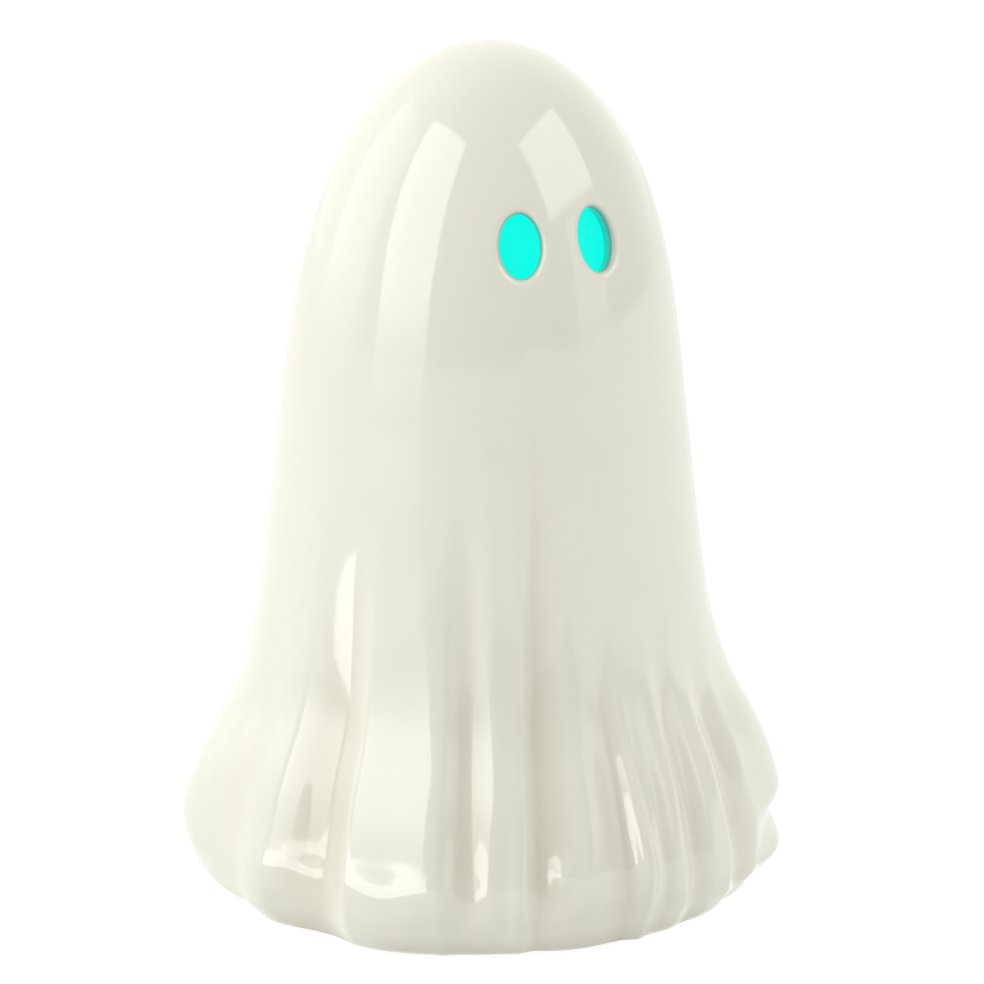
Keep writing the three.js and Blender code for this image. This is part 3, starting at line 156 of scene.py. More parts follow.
class GhostBodySizes(bpy.types.PropertyGroup):
    """Sizes of the ceramic body."""
    height: mm("Height", "Height of the ghost above its table", HEIGHT_MM)
    crown_rise: mm("Crown rise", "Height of the domed upper half", 101)
    crown_power: number("Crown bluntness", "Higher is blunter", 3.8)
    body_radius: mm("Body radius", "Radius where the crown meets the skirt", 49.6)
    body_taper: number("Body taper", "Radius lost per height", 0.11)
    head_lean: mm("Head lean", "How far the head leans out over the face", 2.9)
    lean_start: mm("Lean start", "Height where the lean begins", 117)
    hem_radius: mm("Hem radius", "Radius of the skirt's widest part", 68.6)
    hem_height: mm("Hem height", "Height of the skirt's widest part", 19)
    hem_tuck: mm("Hem tuck", "How far the hem turns in under itself", 4)
    hem_ease_out: mm("Hem ease out", "How the hem leaves the skirt, outwards", 1.0)
    hem_ease_down: mm("Hem ease down", "How the hem leaves the skirt, downwards", 4.2)
    hem_edge_inset: mm("Hem edge inset", "How far its edge stands in from its widest part", 0.6)
    skirt_hang: mm("Skirt hang", "How far the body's taper goes on below the crown", 69)
    sweep_in: mm("Sweep in", "How the skirt comes into the hem, inwards", 9)
    sweep_up: mm("Sweep up", "How the skirt comes into the hem, upwards", 37.5)
    wall: mm("Wall", "Thickness of the clay", 4)
    foot: mm("Foot", "Height of the clay's foot above the table", 1)
    foot_ring: mm("Foot ring", "Inner radius of the foot ring", 54)
    recess: mm("Recess", "Height of the underside above the foot ring", 3.4)
    floor: mm("Floor", "Thickness of the clay floor", 5)
    opening: mm("Opening", "Radius of the opening for the light unit", 37)
    fillet: mm("Fillet", "Radius inside where the floor meets the wall", 5)
    clay_edge: mm("Clay edge", "Rounding of the clay's edges underneath", 0.8)
    inner_folds: number("Inner folds", "Share of the folds inside", 0.7)
    foot_folds: number("Foot folds", "How strongly they reach the foot", 1.0)
    hem_edge: mm("Hem edge", "Height above the foot where the hem turns under", 5.6)
    hem_lift: number("Hem lift", "Rise of the hem per fold depth", 0.3)
    hem_reach: mm("Hem reach", "How far above the hem its rise is felt", 26)
    waviness: mm("Waviness", "Unevenness of the cast surface", 0.1)
    columns: IntProperty(name="Columns", description="Faces round the outside", default=480)


class GhostEyeSizes(bpy.types.PropertyGroup):
    """Sizes of the eye holes and of the frosted ovals behind them."""
    angle: number("Angle", "Degrees to each side of the face", 14)
    drop: mm("Drop", "From the top of the head down to an eye's middle", 40.2)
    half_width: mm("Half width", "Half the width of an eye hole", 4.7)
    half_height: mm("Half height", "Half the height of an eye hole", 7.2)
    lip: mm("Lip", "Radius of the glazed lip round an eye hole", 2.1)
    inner_lip: mm("Inner lip", "Radius of the hole's inner edge", 0.5)
    overlap: mm("Overlap", "How far a diffuser reaches past its hole", 2.6)
    thickness: mm("Thickness", "Thickness of a diffuser", 1.6)
    glue: mm("Glue", "Gap between a diffuser and the clay", 0.3)


class GhostUnitSizes(bpy.types.PropertyGroup):
    """Sizes of the battery light unit."""
    clearance: mm("Clearance", "Between pieces that seat on each other", 0.3)
    running_gap: mm("Running gap", "Round pieces that move", 0.4)
    flange_radius: mm("Flange radius", "Radius of the flange under the ghost", 43)
    flange_thickness: mm("Flange thickness", "Thickness of the flange", 2)
    cup_radius: mm("Cup radius", "Outer radius of the cup", 33.4)
    cup_wall: mm("Cup wall", "Thickness of the cup's wall", 1.8)
    cup_height: mm("Cup height", "Height of the cup above the flange", 19.7)
    bead: mm("Bead", "Ring round the cup that keeps the gasket down", 0.9)
    plastic: mm("Tray wall", "Thickness of the battery tray", 1.5)
    boss_radius: mm("Boss radius", "Radius of the screws' bosses", 2.9)
    gasket_height: mm("Gasket height", "Height of the gasket", 7.6)
    cover_thickness: mm("Cover thickness", "Thickness of the top cover", 1.8)
    door_thickness: mm("Door thickness", "Thickness of the battery door", 1.6)
    tongue_thickness: mm("Tongue thickness", "Thickness of the door's tongue", 2.4)
    dome_radius: mm("Dome radius", "Outer radius of the dome", 12)
    dome_wall: mm("Dome wall", "Thickness of the dome", 1.4)
    dome_height: mm("Dome height", "Height of the dome above the cover", 14)
    dome_shoulder: mm("Dome shoulder", "Height of its straight wall", 4.4)
    dome_flange: mm("Dome flange", "Width of its flange", 3.5)
    board_width: mm("Board width", "Length of the circuit board along X", 34)
    board_depth: mm("Board depth", "Length of the circuit board along Y", 24)
    board_thickness: mm("Board thickness", "Thickness of the circuit board", 1.2)
    lamp_diameter: mm("Lamp diameter", "Diameter of a light-emitting diode", 5)
    lamp_height: mm("Lamp height", "Height of a light-emitting diode", 8.6)
    cell_diameter: mm("Cell diameter", "Diameter of a cell", 10.5)
    cell_length: mm("Cell length", "Length of a cell with its nub", 44.5)
    cell_pitch: mm("Cell pitch", "From one cell to the next", 11)
    nub_diameter: mm("Nub diameter", "Diameter of a cell's nub", 3.8)
    nub_height: mm("Nub height", "Height of a cell's nub", 0.8)
    spring_room: mm("Spring room", "Between a cell's flat end and its contact", 4.9)
    switch_x: mm("Switch place", "How far the switch stands to the side", 25)
    wire_diameter: mm("Wire diameter", "Diameter of a lead over its insulation", 1.2)


class GhostFinishes(bpy.types.PropertyGroup):
    """Colours of the finishes."""
    glaze: colour("Glaze", "Where the glaze lies thin", (0.845, 0.84, 0.72))
    # Pooled glaze: darker, browner, laid by fold depth; pooled glaze and painted shade in the folds.
    pooled_glaze_and_shade: colour("Pooled glaze", "Where the glaze has run thick", (0.76, 0.735, 0.585))
    # Thin glaze: darker brown towards the table; glaze run thin and painted shade under the hem.
    thin_glaze_and_shade: colour("Thin glaze", "Where it has run off the hem's edge", (0.56, 0.49, 0.35))
    bare_clay: colour("Bare clay", "Unglazed clay under the foot", (0.74, 0.67, 0.57))
    eye_light: colour("Eye light", "Light of the eyes", (0.0, 0.97, 0.80))
    housing: colour("Housing", "White moulded plastic", (0.78, 0.78, 0.745))
    silicone: colour("Silicone", "Gasket", (0.66, 0.68, 0.66))
    board: colour("Board", "Solder mask of the circuit board", (0.02, 0.15, 0.05))
    cell: colour("Cell jacket", "Film round a battery cell", (0.035, 0.05, 0.065))


class GhostStageSettings(bpy.types.PropertyGroup):
    """Camera, lamps and floor."""
    azimuth: number("Azimuth", "Camera's side, in degrees", -25.3)
    elevation: number("Elevation", "Camera's height, in degrees", 15.244)
    distance: number("Distance", "Camera to object", 0.947, unit="LENGTH")
    aim: number("Aim", "Height that it looks at", 0.09212, unit="LENGTH")
    aside: number("Aside", "How far it looks past the axis", 0.002137, unit="LENGTH")
    lens: number("Lens", "Focal length in millimetres", 146.7)
    brightness: number("Brightness", "Of all the lamps", 1.0)
    fill: number("Fill", "Light from all round, in front", 0.38)
    fill_behind: number("Fill behind", "The same, behind", 0.86)
    fill_below: number("Fill below", "The same, from under it", 0.8)
    gloss_fill: number("Gloss fill", "How it looks in the glaze", 0.3)
    gloss_behind: number("Gloss behind", "How the backdrop looks in the glaze", 1.2)


# Surfaces


def settings(word):
    """The sizes or colours of one of the property groups."""
    return getattr(bpy.context.scene, "ghost_" + word)


def unit_of(vectors):
    """The vectors at a length of one."""
    return vectors / np.linalg.norm(vectors, axis=-1, keepdims=True)


def columns_of(table, angle):
    """A table's columns, each shaped to be spread over an array of angles."""
    return (column.reshape((-1,) + (1,) * np.ndim(angle)) for column in table.T)


def eased(x):
    """Three x squared less two x cubed: a smooth step from 0 to 1."""
    return x * x * (3 - 2 * x)


def raised(share):
    """A raised cosine, from 1 down to 0 as the share goes from 0 to 1."""
    return (1 + np.cos(np.pi * np.minimum(1, share))) / 2


def turned_from(angle, at):
    """Angle less at, wrapped into -180 to 180 degrees."""
    return np.mod(angle - at + 180, 360) - 180


def fold_depth(angle, height):
    """How far the folds press the surface in.

    Each fold fades out upwards by a smooth step, and across it falls off as a raised cosine where its
    edge is soft, or as one less the square of the offset where it is crisp. A notch falls off as a
    raised cosine both ways.
    """
    body = settings("body")
    at, lean, left, right, depth, top, edge_left, edge_right, foot = columns_of(FOLDS, height)
    fall = np.clip((top - height) / (top - body.hem_height), 0, 1)
    off = turned_from(angle, at + lean * (1 - fall))
    share = np.minimum(1, np.abs(off) / np.where(off < 0, left, right))
    soft = raised(share)
    crispness = np.where(off < 0, edge_left, edge_right)
    across = soft + (1 - share ** 2 - soft) * crispness
    under = np.clip((body.hem_height - height) / (body.hem_height - body.foot), 0, 1)
    total = (depth * eased(fall) * across * (1 - (1 - foot * body.foot_folds) * under)).sum(0)
    at, middle, half, reach, depth = columns_of(NOTCHES, height)
    return total + (depth * raised(np.abs(turned_from(angle, at)) / half)
                    * raised(np.abs(height - middle) / reach)).sum(0)


def hem_shift(angle):
    """Sum of raised cosines, one for each place where the hem hangs higher or lower."""
    at, half, lift = columns_of(HEM_WAVES, angle)
    return (lift * raised(np.abs(turned_from(angle, at)) / half)).sum(0)


def cast_waviness(angle, height):
    """Three crossing sine waves of the angle and the height, as a hand-finished casting has."""
    a = np.radians(angle)
    return (np.sin(3 * a + height / 17) + np.sin(5 * a - height / 23 + 1)
            + 0.7 * np.sin(8 * a + height / 11 + 2)) / 2.7


def lean_at(height):
    """How far the head has come forward: a quarter sine wave from the lean's start to the top."""
    body = settings("body")
    share = np.clip((height - body.lean_start) / (body.height - body.lean_start), 0, 1)
    return body.head_lean * np.sin(share * np.pi / 2)


def draped(angle, radius, height, share):
    """Points in mm: the profile moved in by the folds, up by the hem's rise, and out by the lean.

    The hem's rise grows from nothing at the foot to its whole at the hem's edge, and fades above.
    """
    body = settings("body")
    angle, radius, height, share = np.broadcast_arrays(angle, radius, height, share)
    depth = fold_depth(angle, height) * share
    above = (height - body.foot - body.hem_edge) / body.hem_reach
    below = (body.foot + body.hem_edge - height) / body.hem_edge
    near = np.maximum(0, 1 - np.maximum(above, below))
    lift = near * (body.hem_lift * depth + hem_shift(angle) * share)
    top = np.clip((body.height - height) / 30, 0, 1)
    wave = body.waviness * cast_waviness(angle, height) * top * np.where(share >= 0.99, 1, 0)
    r = radius - depth + wave
    a = np.radians(angle)
    return np.stack([r * np.sin(a), -r * np.cos(a) - lean_at(height), height + lift], -1)


def bezier(corners, t, inset):
    """Radius and height along a cubic Bezier curve, moved in along its normal."""
    t = np.asarray(t, float)[..., None]
    s = 1 - t
    place = (s ** 3 * corners[0] + 3 * s * s * t * corners[1]
             + 3 * s * t * t * corners[2] + t ** 3 * corners[3])
    along = (s * s * (corners[1] - corners[0]) + 2 * s * t * (corners[2] - corners[1])
             + t * t * (corners[3] - corners[2]))
    along = unit_of(along)
    return place[..., 0] + along[..., 1] * inset, place[..., 1] - along[..., 0] * inset


def crown_profile(t, inset=0.0):
    """Radius and height down the crown, for t from 0 at its top to 1.

    A cone times the square root of one less the height's share to a power, moved in along its normal.
    """
    body = settings("body")
    base = body.height - body.crown_rise

    def at(u):
        rise = np.cos(u * np.pi / 2)
        cone = body.body_radius - body.body_taper * body.crown_rise * rise
        squared = np.maximum(0, 1 - np.abs(rise) ** body.crown_power)
        return cone * np.sqrt(squared), base + body.crown_rise * rise

    t = np.asarray(t, float)
    radius, height = at(t)
    step = 1e-4
    r1, h1 = at(np.maximum(t, step) - step / 2)
    r2, h2 = at(np.maximum(t, step) + step / 2)
    along = np.hypot(r2 - r1, h2 - h1)
    return radius + (h2 - h1) / along * inset, height - (r2 - r1) / along * inset


def skirt_profile(t, inset=0.0):
    """Radius and height down the skirt: a cubic Bezier curve, moved in along its normal."""
    body = settings("body")
    base = body.height - body.crown_rise
    corners = np.array([
        (body.body_radius, base),
        (body.body_radius + body.body_taper * body.skirt_hang, base - body.skirt_hang),
        (body.hem_radius - body.sweep_in, body.hem_height + body.sweep_up),
        (body.hem_radius, body.hem_height),
    ])
    return bezier(corners, t, inset)


def hem_profile():
    """Radius and height round the hem, from its widest part to the foot.

    A cubic Bezier curve down its side, a short one round its edge, and a straight underside.
    """
    body = settings("body")
    edge = np.array((body.hem_radius - body.hem_edge_inset, body.foot + body.hem_edge))
    foot = np.array((body.hem_radius - body.hem_tuck, body.foot))
    under = (foot - edge) / np.linalg.norm(foot - edge)
    down = np.array((-0.2, -0.98))
    cut, pull, ease = 1.1, 0.45, 3.4
    start, end = edge - down * cut, edge + under * cut
    widest = np.array((body.hem_radius, body.hem_height))
    leaving = widest + (body.hem_ease_out, -body.hem_ease_down)
    side = bezier([widest, leaving, start - down * ease, start], np.arange(1, 11) / 10, 0.0)
    turn = bezier([start, edge - down * pull, edge + under * pull, end], np.arange(1, 8) / 7, 0.0)
    flat = end + (foot - end) * (np.arange(1, 6) / 5)[:, None]
    return np.concatenate([np.stack(side, -1), np.stack(turn, -1), flat])


def rounded(corners, radius, steps=5):
    """A line of (radius, height) corners, each inner one turned into a circular arc."""
    corners = np.asarray(corners, float)
    found = [corners[:1]]
    for before, corner, after in zip(corners, corners[1:], corners[2:]):
        back, on = before - corner, after - corner
        room = min(np.linalg.norm(back), np.linalg.norm(on)) / 2
        back, on = back / np.linalg.norm(back), on / np.linalg.norm(on)
        half = math.acos(np.clip(back @ on, -1, 1)) / 2
        cut = min(radius / math.tan(half), room)
        bisector = (back + on) / np.linalg.norm(back + on)
        centre = corner + bisector * cut / math.cos(half)
        sweep = np.linspace(-1, 1, steps + 1) * (math.pi / 2 - half)
        side = (on - back) / np.linalg.norm(on - back)
        arm = cut * math.tan(half)
        found.append(centre + arm * (np.sin(sweep)[:, None] * side - np.cos(sweep)[:, None] * bisector))
    found.append(corners[-1:])
    return np.concatenate(found)


# Meshes


class Weave:
    """Gathers points and the faces between them, for one closed mesh."""

    def __init__(self):
        self.points, self.faces, self.count, self.marks = [], [], 0, {}

    def add(self, points):
        """Takes an array of points in mm round the axis and gives back their numbers."""
        flat = np.asarray(points, float).reshape(-1, 3)
        numbers = np.arange(self.count, self.count + len(flat))
        self.points.append(flat)
        self.count += len(flat)
        return numbers.reshape(np.shape(points)[:-1])

    def mark(self, numbers, name, value):
        """Remembers a value of some points, for a material."""
        self.marks.setdefault(name, []).append((numbers, value))

    def keep(self, faces):
        self.faces.extend(np.asarray(faces).tolist())

    def grid(self, numbers, without=()):
        """Faces between rows of points that close on themselves, less windows of rows and columns."""
        rows, columns = numbers.shape
        shown = np.ones((rows - 1, columns), bool)
        for top, bottom, left, right in without:
            shown[top:bottom, np.arange(left, right) % columns] = False
        i, k = np.nonzero(shown)
        on = (k + 1) % columns
        self.keep(np.stack([numbers[i, k], numbers[i + 1, k], numbers[i + 1, on], numbers[i, on]], -1))

    def band(self, first, second):
        """Faces from one closed ring to the next, which may have other numbers of points."""
        count = max(len(first), len(second))
        k = np.arange(count)
        a, b = first[k * len(first) // count], first[(k + 1) * len(first) // count % len(first)]
        d, c = second[k * len(second) // count], second[(k + 1) * len(second) // count % len(second)]
        whole = (a != b) & (c != d)
        self.keep(np.stack([a, d, c, b], -1)[whole])
        self.keep(np.stack([a, d, c], -1)[(a == b) & (c != d)])
        self.keep(np.stack([a, d, b], -1)[(a != b) & (c == d)])

    def bands(self, rings):
        for first, second in zip(rings, rings[1:]):
            self.band(first, second)

    def piece(self, name, smooth=35, centred=True):
        """The finished object at the origin, its edges sharp above an angle in degrees."""
        points = np.concatenate(self.points)
        if centred:
            points = points + (*AXIS_MM, 0)
        mesh = bpy.data.meshes.new(name)
        mesh.from_pydata((points * MM).tolist(), [], self.faces)
        mesh.validate()
        mesh.shade_smooth()
        piece = bpy.data.objects.new(name, mesh)
        bpy.context.scene.collection.objects.link(piece)
        for label, marks in self.marks.items():
            values = np.zeros(len(points))
            for numbers, value in marks:
                values[numbers] = value
            marked(piece, label, values)
        if smooth < 180:
            mesh.set_sharp_from_angle(angle=math.radians(smooth))
        return piece


def finished(piece, material, slot, body, *nodes):
    """Gives a piece its material, sets it on its body and hides what it stands for; slot is not used."""
    piece.data.materials.clear()
    piece.data.materials.append(material)
    if nodes:
        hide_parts(*nodes)
    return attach(piece, body)


# The ceramic body


class EyePlace:
    """The plane that touches the body at an eye, and where points over it lie on a wall.

    A wall is a function of the angle and the profile's own t. A point over the plane is followed down
    to the wall by Newton's method, on the wall's two slopes across the plane.
    """

    def __init__(self, side):
        body, eyes = settings("body"), settings("eyes")
        rise = (body.crown_rise - eyes.drop) / body.crown_rise
        angle, t = self.start = (side * eyes.angle, math.acos(rise) * 2 / math.pi)
        step = 1e-3
        over = outer_wall(angle + step, t) - outer_wall(angle - step, t)
        down = outer_wall(angle, t + step) - outer_wall(angle, t - step)
        self.centre = outer_wall(angle, t)
        self.over = over / np.linalg.norm(over)
        out = np.cross(down, over)
        self.out = out / np.linalg.norm(out)
        self.up = np.cross(self.out, self.over)

    def flat(self, points):
        away = points - self.centre
        return np.stack([away @ self.over, away @ self.up], -1)

    def on(self, wall, flat):
        angle = np.full(flat.shape[:-1], float(self.start[0]))
        t = np.full(flat.shape[:-1], float(self.start[1]))
        for _ in range(9):
            here = self.flat(wall(angle, t))
            by_angle = (self.flat(wall(angle + 0.01, t)) - here) / 0.01
            by_t = (self.flat(wall(angle, t + 1e-4)) - here) / 1e-4
            miss = flat - here
            area = by_angle[..., 0] * by_t[..., 1] - by_angle[..., 1] * by_t[..., 0]
            angle = angle + (miss[..., 0] * by_t[..., 1] - miss[..., 1] * by_t[..., 0]) / area
            t = t + (by_angle[..., 0] * miss[..., 1] - by_angle[..., 1] * miss[..., 0]) / area
        return wall(angle, t)


def outer_wall(angle, t):
    return draped(angle, *crown_profile(t), 1.0)


def hollow_wall(gap):
    """The inner wall of the crown, or a surface that stands a gap further in."""
    body = settings("body")

    def wall(angle, t):
        return draped(angle, *crown_profile(t, body.wall + gap), body.inner_folds)

    return wall


def window_ring(numbers, window):
    """The numbers round a window of the grid, anticlockwise as seen from outside the body."""
    top, bottom, left, right = window
    columns = numbers.shape[1]
    across = np.arange(left, right + 1) % columns
    down = np.arange(top, bottom + 1)
    return np.concatenate([numbers[bottom, across[:-1]], numbers[down[::-1][:-1], across[-1]],
                           numbers[top, across[::-1][:-1]], numbers[down[:-1], across[0]]])


def oval(directions, grow):
    """Points of an eye's oval, each moved out by a distance along the oval's normal."""
    eyes = settings("eyes")
    halves = (eyes.half_width, eyes.half_height)
    unit = np.stack([np.cos(directions), np.sin(directions)], -1)
    return unit * halves + unit_of(unit / halves) * grow


def oval_directions(flat):
    """The directions at which points beside an eye lie, as the oval counts them."""
    eyes = settings("eyes")
    return np.arctan2(flat[:, 1] / eyes.half_height, flat[:, 0] / eyes.half_width)


def cut_eye(weave, side, outer, outer_window, inner, inner_window):
    """The wall round an eye hole: from the outer grid over the lip, through the clay, to the inner."""
    eyes = settings("eyes")
    place = EyePlace(side)
    points = np.concatenate(weave.points)
    border = window_ring(outer, outer_window)
    border_flat = place.flat(points[border])
    directions = oval_directions(border_flat)
    rim = oval(directions, eyes.lip)
    rings = [border]
    for share in (0.2, 0.4, 0.58, 0.74, 0.88, 1.0):
        rings.append(weave.add(place.on(outer_wall, border_flat + (rim - border_flat) * share)))
    for turn in np.radians(np.linspace(0, 90, 11)[1:]):
        ring = oval(directions, eyes.lip * (1 - math.sin(turn)))
        sunk = eyes.lip * (1 - math.cos(turn))
        rings.append(weave.add(place.on(outer_wall, ring) - sunk * place.out))
        # The lip's inner turns get painted shade, and the last ones a painted glow of the eyes' light.
        weave.mark(rings[-1], "eye_wall_shade", math.sin(turn) ** 6)
        weave.mark(rings[-1], "eye_lit", max(0.0, math.degrees(turn) / 18 - 4))
    wall_start = weave.count
    wall = hollow_wall(0)
    straight = oval(directions, 0)
    front = place.on(outer_wall, straight) - eyes.lip * place.out
    rear = place.on(wall, straight) + eyes.inner_lip * place.out
    rings.append(weave.add((front + rear) / 2))
    rings.append(weave.add(rear))
    for turn in np.radians((30, 60, 90)):
        ring = oval(directions, eyes.inner_lip * (1 - math.cos(turn)))
        rise = eyes.inner_lip * (1 - math.sin(turn))
        rings.append(weave.add(place.on(wall, ring) + rise * place.out))
    # The hole's wall gets full painted shade and a full painted glow of the eyes' light.
    weave.mark(np.arange(wall_start, weave.count), "eye_wall_shade", 1.0)
    weave.mark(np.arange(wall_start, weave.count), "eye_lit", 1.0)
    inner_border = window_ring(inner, inner_window)
    inner_flat = place.flat(points[inner_border])
    directions = oval_directions(inner_flat)
    near = oval(directions, eyes.inner_lip + 1)
    rings.append(weave.add(place.on(wall, near)))
    rings.append(weave.add(place.on(wall, (near + inner_flat) / 2)))
    rings.append(inner_border)
    for first, second in zip(rings, rings[1:]):
        weave.band(second, first)


def window_for(angles, heights, left, right, low, high):
    """The rows and columns of a grid that come nearest to a span of angles and of heights."""
    top = int(np.argmin(np.abs(heights - high)))
    bottom = int(np.argmin(np.abs(heights - low)))
    step = angles[1] - angles[0]
    return top, bottom, int(round(left / step)), int(round(right / step))


def ceramic_weave():
    """One closed surface: down the outside, under the foot, through the opening and up the inside."""
    body, eyes = settings("body"), settings("eyes")
    weave = Weave()
    angles = np.arange(body.columns) * 360 / body.columns
    crown = np.stack(crown_profile(np.arange(1, 71) / 70), -1)
    skirt = np.stack(skirt_profile(np.arange(1, 61) / 60), -1)
    outside = np.concatenate([crown, skirt, hem_profile()])
    outer = weave.add(draped(angles[None], outside[:, :1], outside[:, 1:], 1.0))
    apex = weave.add([[0, -lean_at(body.height), body.height]])

    few = np.arange(body.columns // 3) * 3 * 360 / body.columns
    recess = body.foot + body.recess
    floor = recess + body.floor
    foot_end = outside[-1, 0]
    ring = np.linspace(foot_end, body.foot_ring, 6)[1:-1]
    ring = np.stack([ring, np.full_like(ring, body.foot)], -1)
    ring_share = (ring[:, 0] - body.foot_ring) / (foot_end - body.foot_ring)
    inner_skirt = np.stack(skirt_profile(np.arange(59, 0, -2) / 60, body.wall), -1)
    inner_skirt = inner_skirt[inner_skirt[:, 1] > floor + body.fillet]
    under = rounded([
        ring[-1],
        (body.foot_ring, body.foot),
        (body.foot_ring - body.clay_edge, recess),
        (body.opening, recess),
        (body.opening, floor),
        (body.opening + body.fillet, floor),
    ], body.clay_edge)[1:]
    low, high = inner_skirt[1], inner_skirt[0]
    wall_foot = high + (high - low) * (high[1] - floor) / (low[1] - high[1])
    inner_floor = rounded([under[-1], wall_foot, high], body.fillet, 8)[1:-1]
    reach = inner_floor[:, 0] - under[-1, 0]
    floor_share = np.clip(reach / reach.max(), 0, 1)
    inner_crown = np.stack(crown_profile(np.arange(40, 0, -1) / 40, body.wall), -1)
    lines = np.concatenate([ring, under, inner_floor, inner_skirt, inner_crown])
    shares = np.concatenate([ring_share, np.zeros(len(under)), floor_share * body.inner_folds,
                             np.full(len(inner_skirt) + len(inner_crown), body.inner_folds)])
    inner = weave.add(draped(few[None], lines[:, :1], lines[:, 1:], shares[:, None]))
    inner_apex = weave.add([[0, -lean_at(body.height), body.height - body.wall]])

    eye_z = body.height - eyes.drop
    windows, inner_windows = [], []
    heights = outside[:, 1] + np.where(np.arange(len(outside)) < len(crown), 0, -500)
    first_crown = len(lines) - len(inner_crown)
    inner_heights = np.where(np.arange(len(lines)) >= first_crown, lines[:, 1], -500)
    for side in (-1, 1):
        ends = sorted(side * end for end in EYE_SPAN)
        low, high = eye_z - EYE_REACH, eye_z + EYE_REACH
        windows.append(window_for(angles, heights, *ends, low, high - 0.5))
        top, bottom, left, right = window_for(few, inner_heights, *ends, low, high - 1)
        inner_windows.append((min(top, bottom), max(top, bottom), left, right))
    weave.band(apex, outer[0])
    weave.grid(outer, windows)
    weave.band(outer[-1], inner[0])
    weave.grid(inner, inner_windows)
    weave.band(inner[-1], inner_apex)
    for side, window, inner_window in zip((-1, 1), windows, inner_windows):
        cut_eye(weave, side, outer, window, inner[::-1], (
            len(lines) - 1 - inner_window[1], len(lines) - 1 - inner_window[0], *inner_window[2:]))
    return weave


class GHOST_OT_ceramic_body(bpy.types.Operator):
    """Builds the glazed ceramic body, with its folds, eye holes, foot ring and opening."""
    bl_idname = "ghost.ceramic_body"
    bl_label = "Ceramic body"

    def execute(self, context):
        piece = ceramic_weave().piece("glazed_body", smooth=180)
        body = context.scene.ghost_body
        x, y, z = places_of(piece).T
        angle = np.degrees(np.arctan2(x, -(y + lean_at(z))))
        # The folds' depth, also the mask for the pooled glaze and painted shade in the folds.
        depth = fold_depth(angle, np.maximum(z, body.foot))
        marked(piece, "fold_depth", np.clip(depth / DEEP_FOLD, -1, 1))
        inside = np.hypot(x, y) < body.hem_radius - body.hem_tuck - 0.6
        marked(piece, "bare_foot", inside & (z < body.foot + 0.35))
        finished(piece, glaze_material(), "glaze", "ghost", "ceramic_shell")
        return {"FINISHED"}


class GHOST_OT_eye_diffusers(bpy.types.Operator):
    """Builds the two frosted ovals that are glued behind the eye holes."""
    bl_idname = "ghost.eye_diffusers"
    bl_label = "Eye diffusers"

    def execute(self, context):
        eyes = context.scene.ghost_eyes
        directions = np.linspace(0, 2 * np.pi, 72, endpoint=False)
        material = eye_material()
        for side, word in ((-1, "left"), (1, "right")):
            place = EyePlace(side)
            weave = Weave()
            near, far, bevel = eyes.glue, eyes.glue + eyes.thickness, 0.25
            front, rear = hollow_wall(near), hollow_wall(far)
            whole, trimmed = oval(directions, eyes.overlap), oval(directions, eyes.overlap - bevel)
            rings = [weave.add(place.on(front, np.zeros((1, 2))))]
            shares = np.linspace(0, 1, 9)[1:]
            rings += [weave.add(place.on(front, trimmed * share)) for share in shares]
            rings.append(weave.add(place.on(hollow_wall(near + bevel), whole)))
            rings.append(weave.add(place.on(hollow_wall(far - bevel), whole)))
            rings += [weave.add(place.on(rear, trimmed * share)) for share in shares[::-1]]
            rings.append(weave.add(place.on(rear, np.zeros((1, 2)))))
            weave.bands(rings[::-1])
            piece = weave.piece(f"eye_oval_{word}", smooth=50)
            finished(piece, material, "eye_glow", "ghost", f"eye_diffuser_{word}")
        return {"FINISHED"}


# Shapes for the light unit


LAID = {"Z": [[1, 0, 0], [0, 1, 0], [0, 0, 1]], "-Z": [[1, 0, 0], [0, -1, 0], [0, 0, -1]],
        "X": [[0, 1, 0], [0, 0, 1], [1, 0, 0]],
        "Y": [[1, 0, 0], [0, 0, -1], [0, 1, 0]], "-Y": [[1, 0, 0], [0, 0, 1], [0, -1, 0]]}


def spots(angles, radius):
    """Places on a circle: (r cos a, r sin a)."""
    a = np.radians(angles)
    return np.stack([radius * np.cos(a), radius * np.sin(a)], -1)


def turned(weave, section, sides=96, at=(0, 0, 0), along="Z"):
    """A profile of (radius, height) carried round an axis: (r sin a, -r cos a, height).

    The profile runs anticlockwise with the radius to the right. An end on the axis is one point, and a
    profile whose ends meet makes a ring. The axis is then laid along Z, X or Y, and moved.
    """
    section = np.asarray(section, float)[::-1]
    closed = bool(np.allclose(section[0], section[-1]))
    a = np.arange(sides) * 2 * np.pi / sides
    radius, height = (section[:-1] if closed else section).T
    grid = np.stack(np.broadcast_arrays(radius[:, None] * np.sin(a), -radius[:, None] * np.cos(a),
                                        height[:, None]), -1)
    rows = grid @ np.array(LAID[along], float) + at
    rings = [weave.add(row if r > 1e-9 else row[:1]) for row, r in zip(rows, radius)]
    weave.bands(rings + rings[:1] if closed else rings)


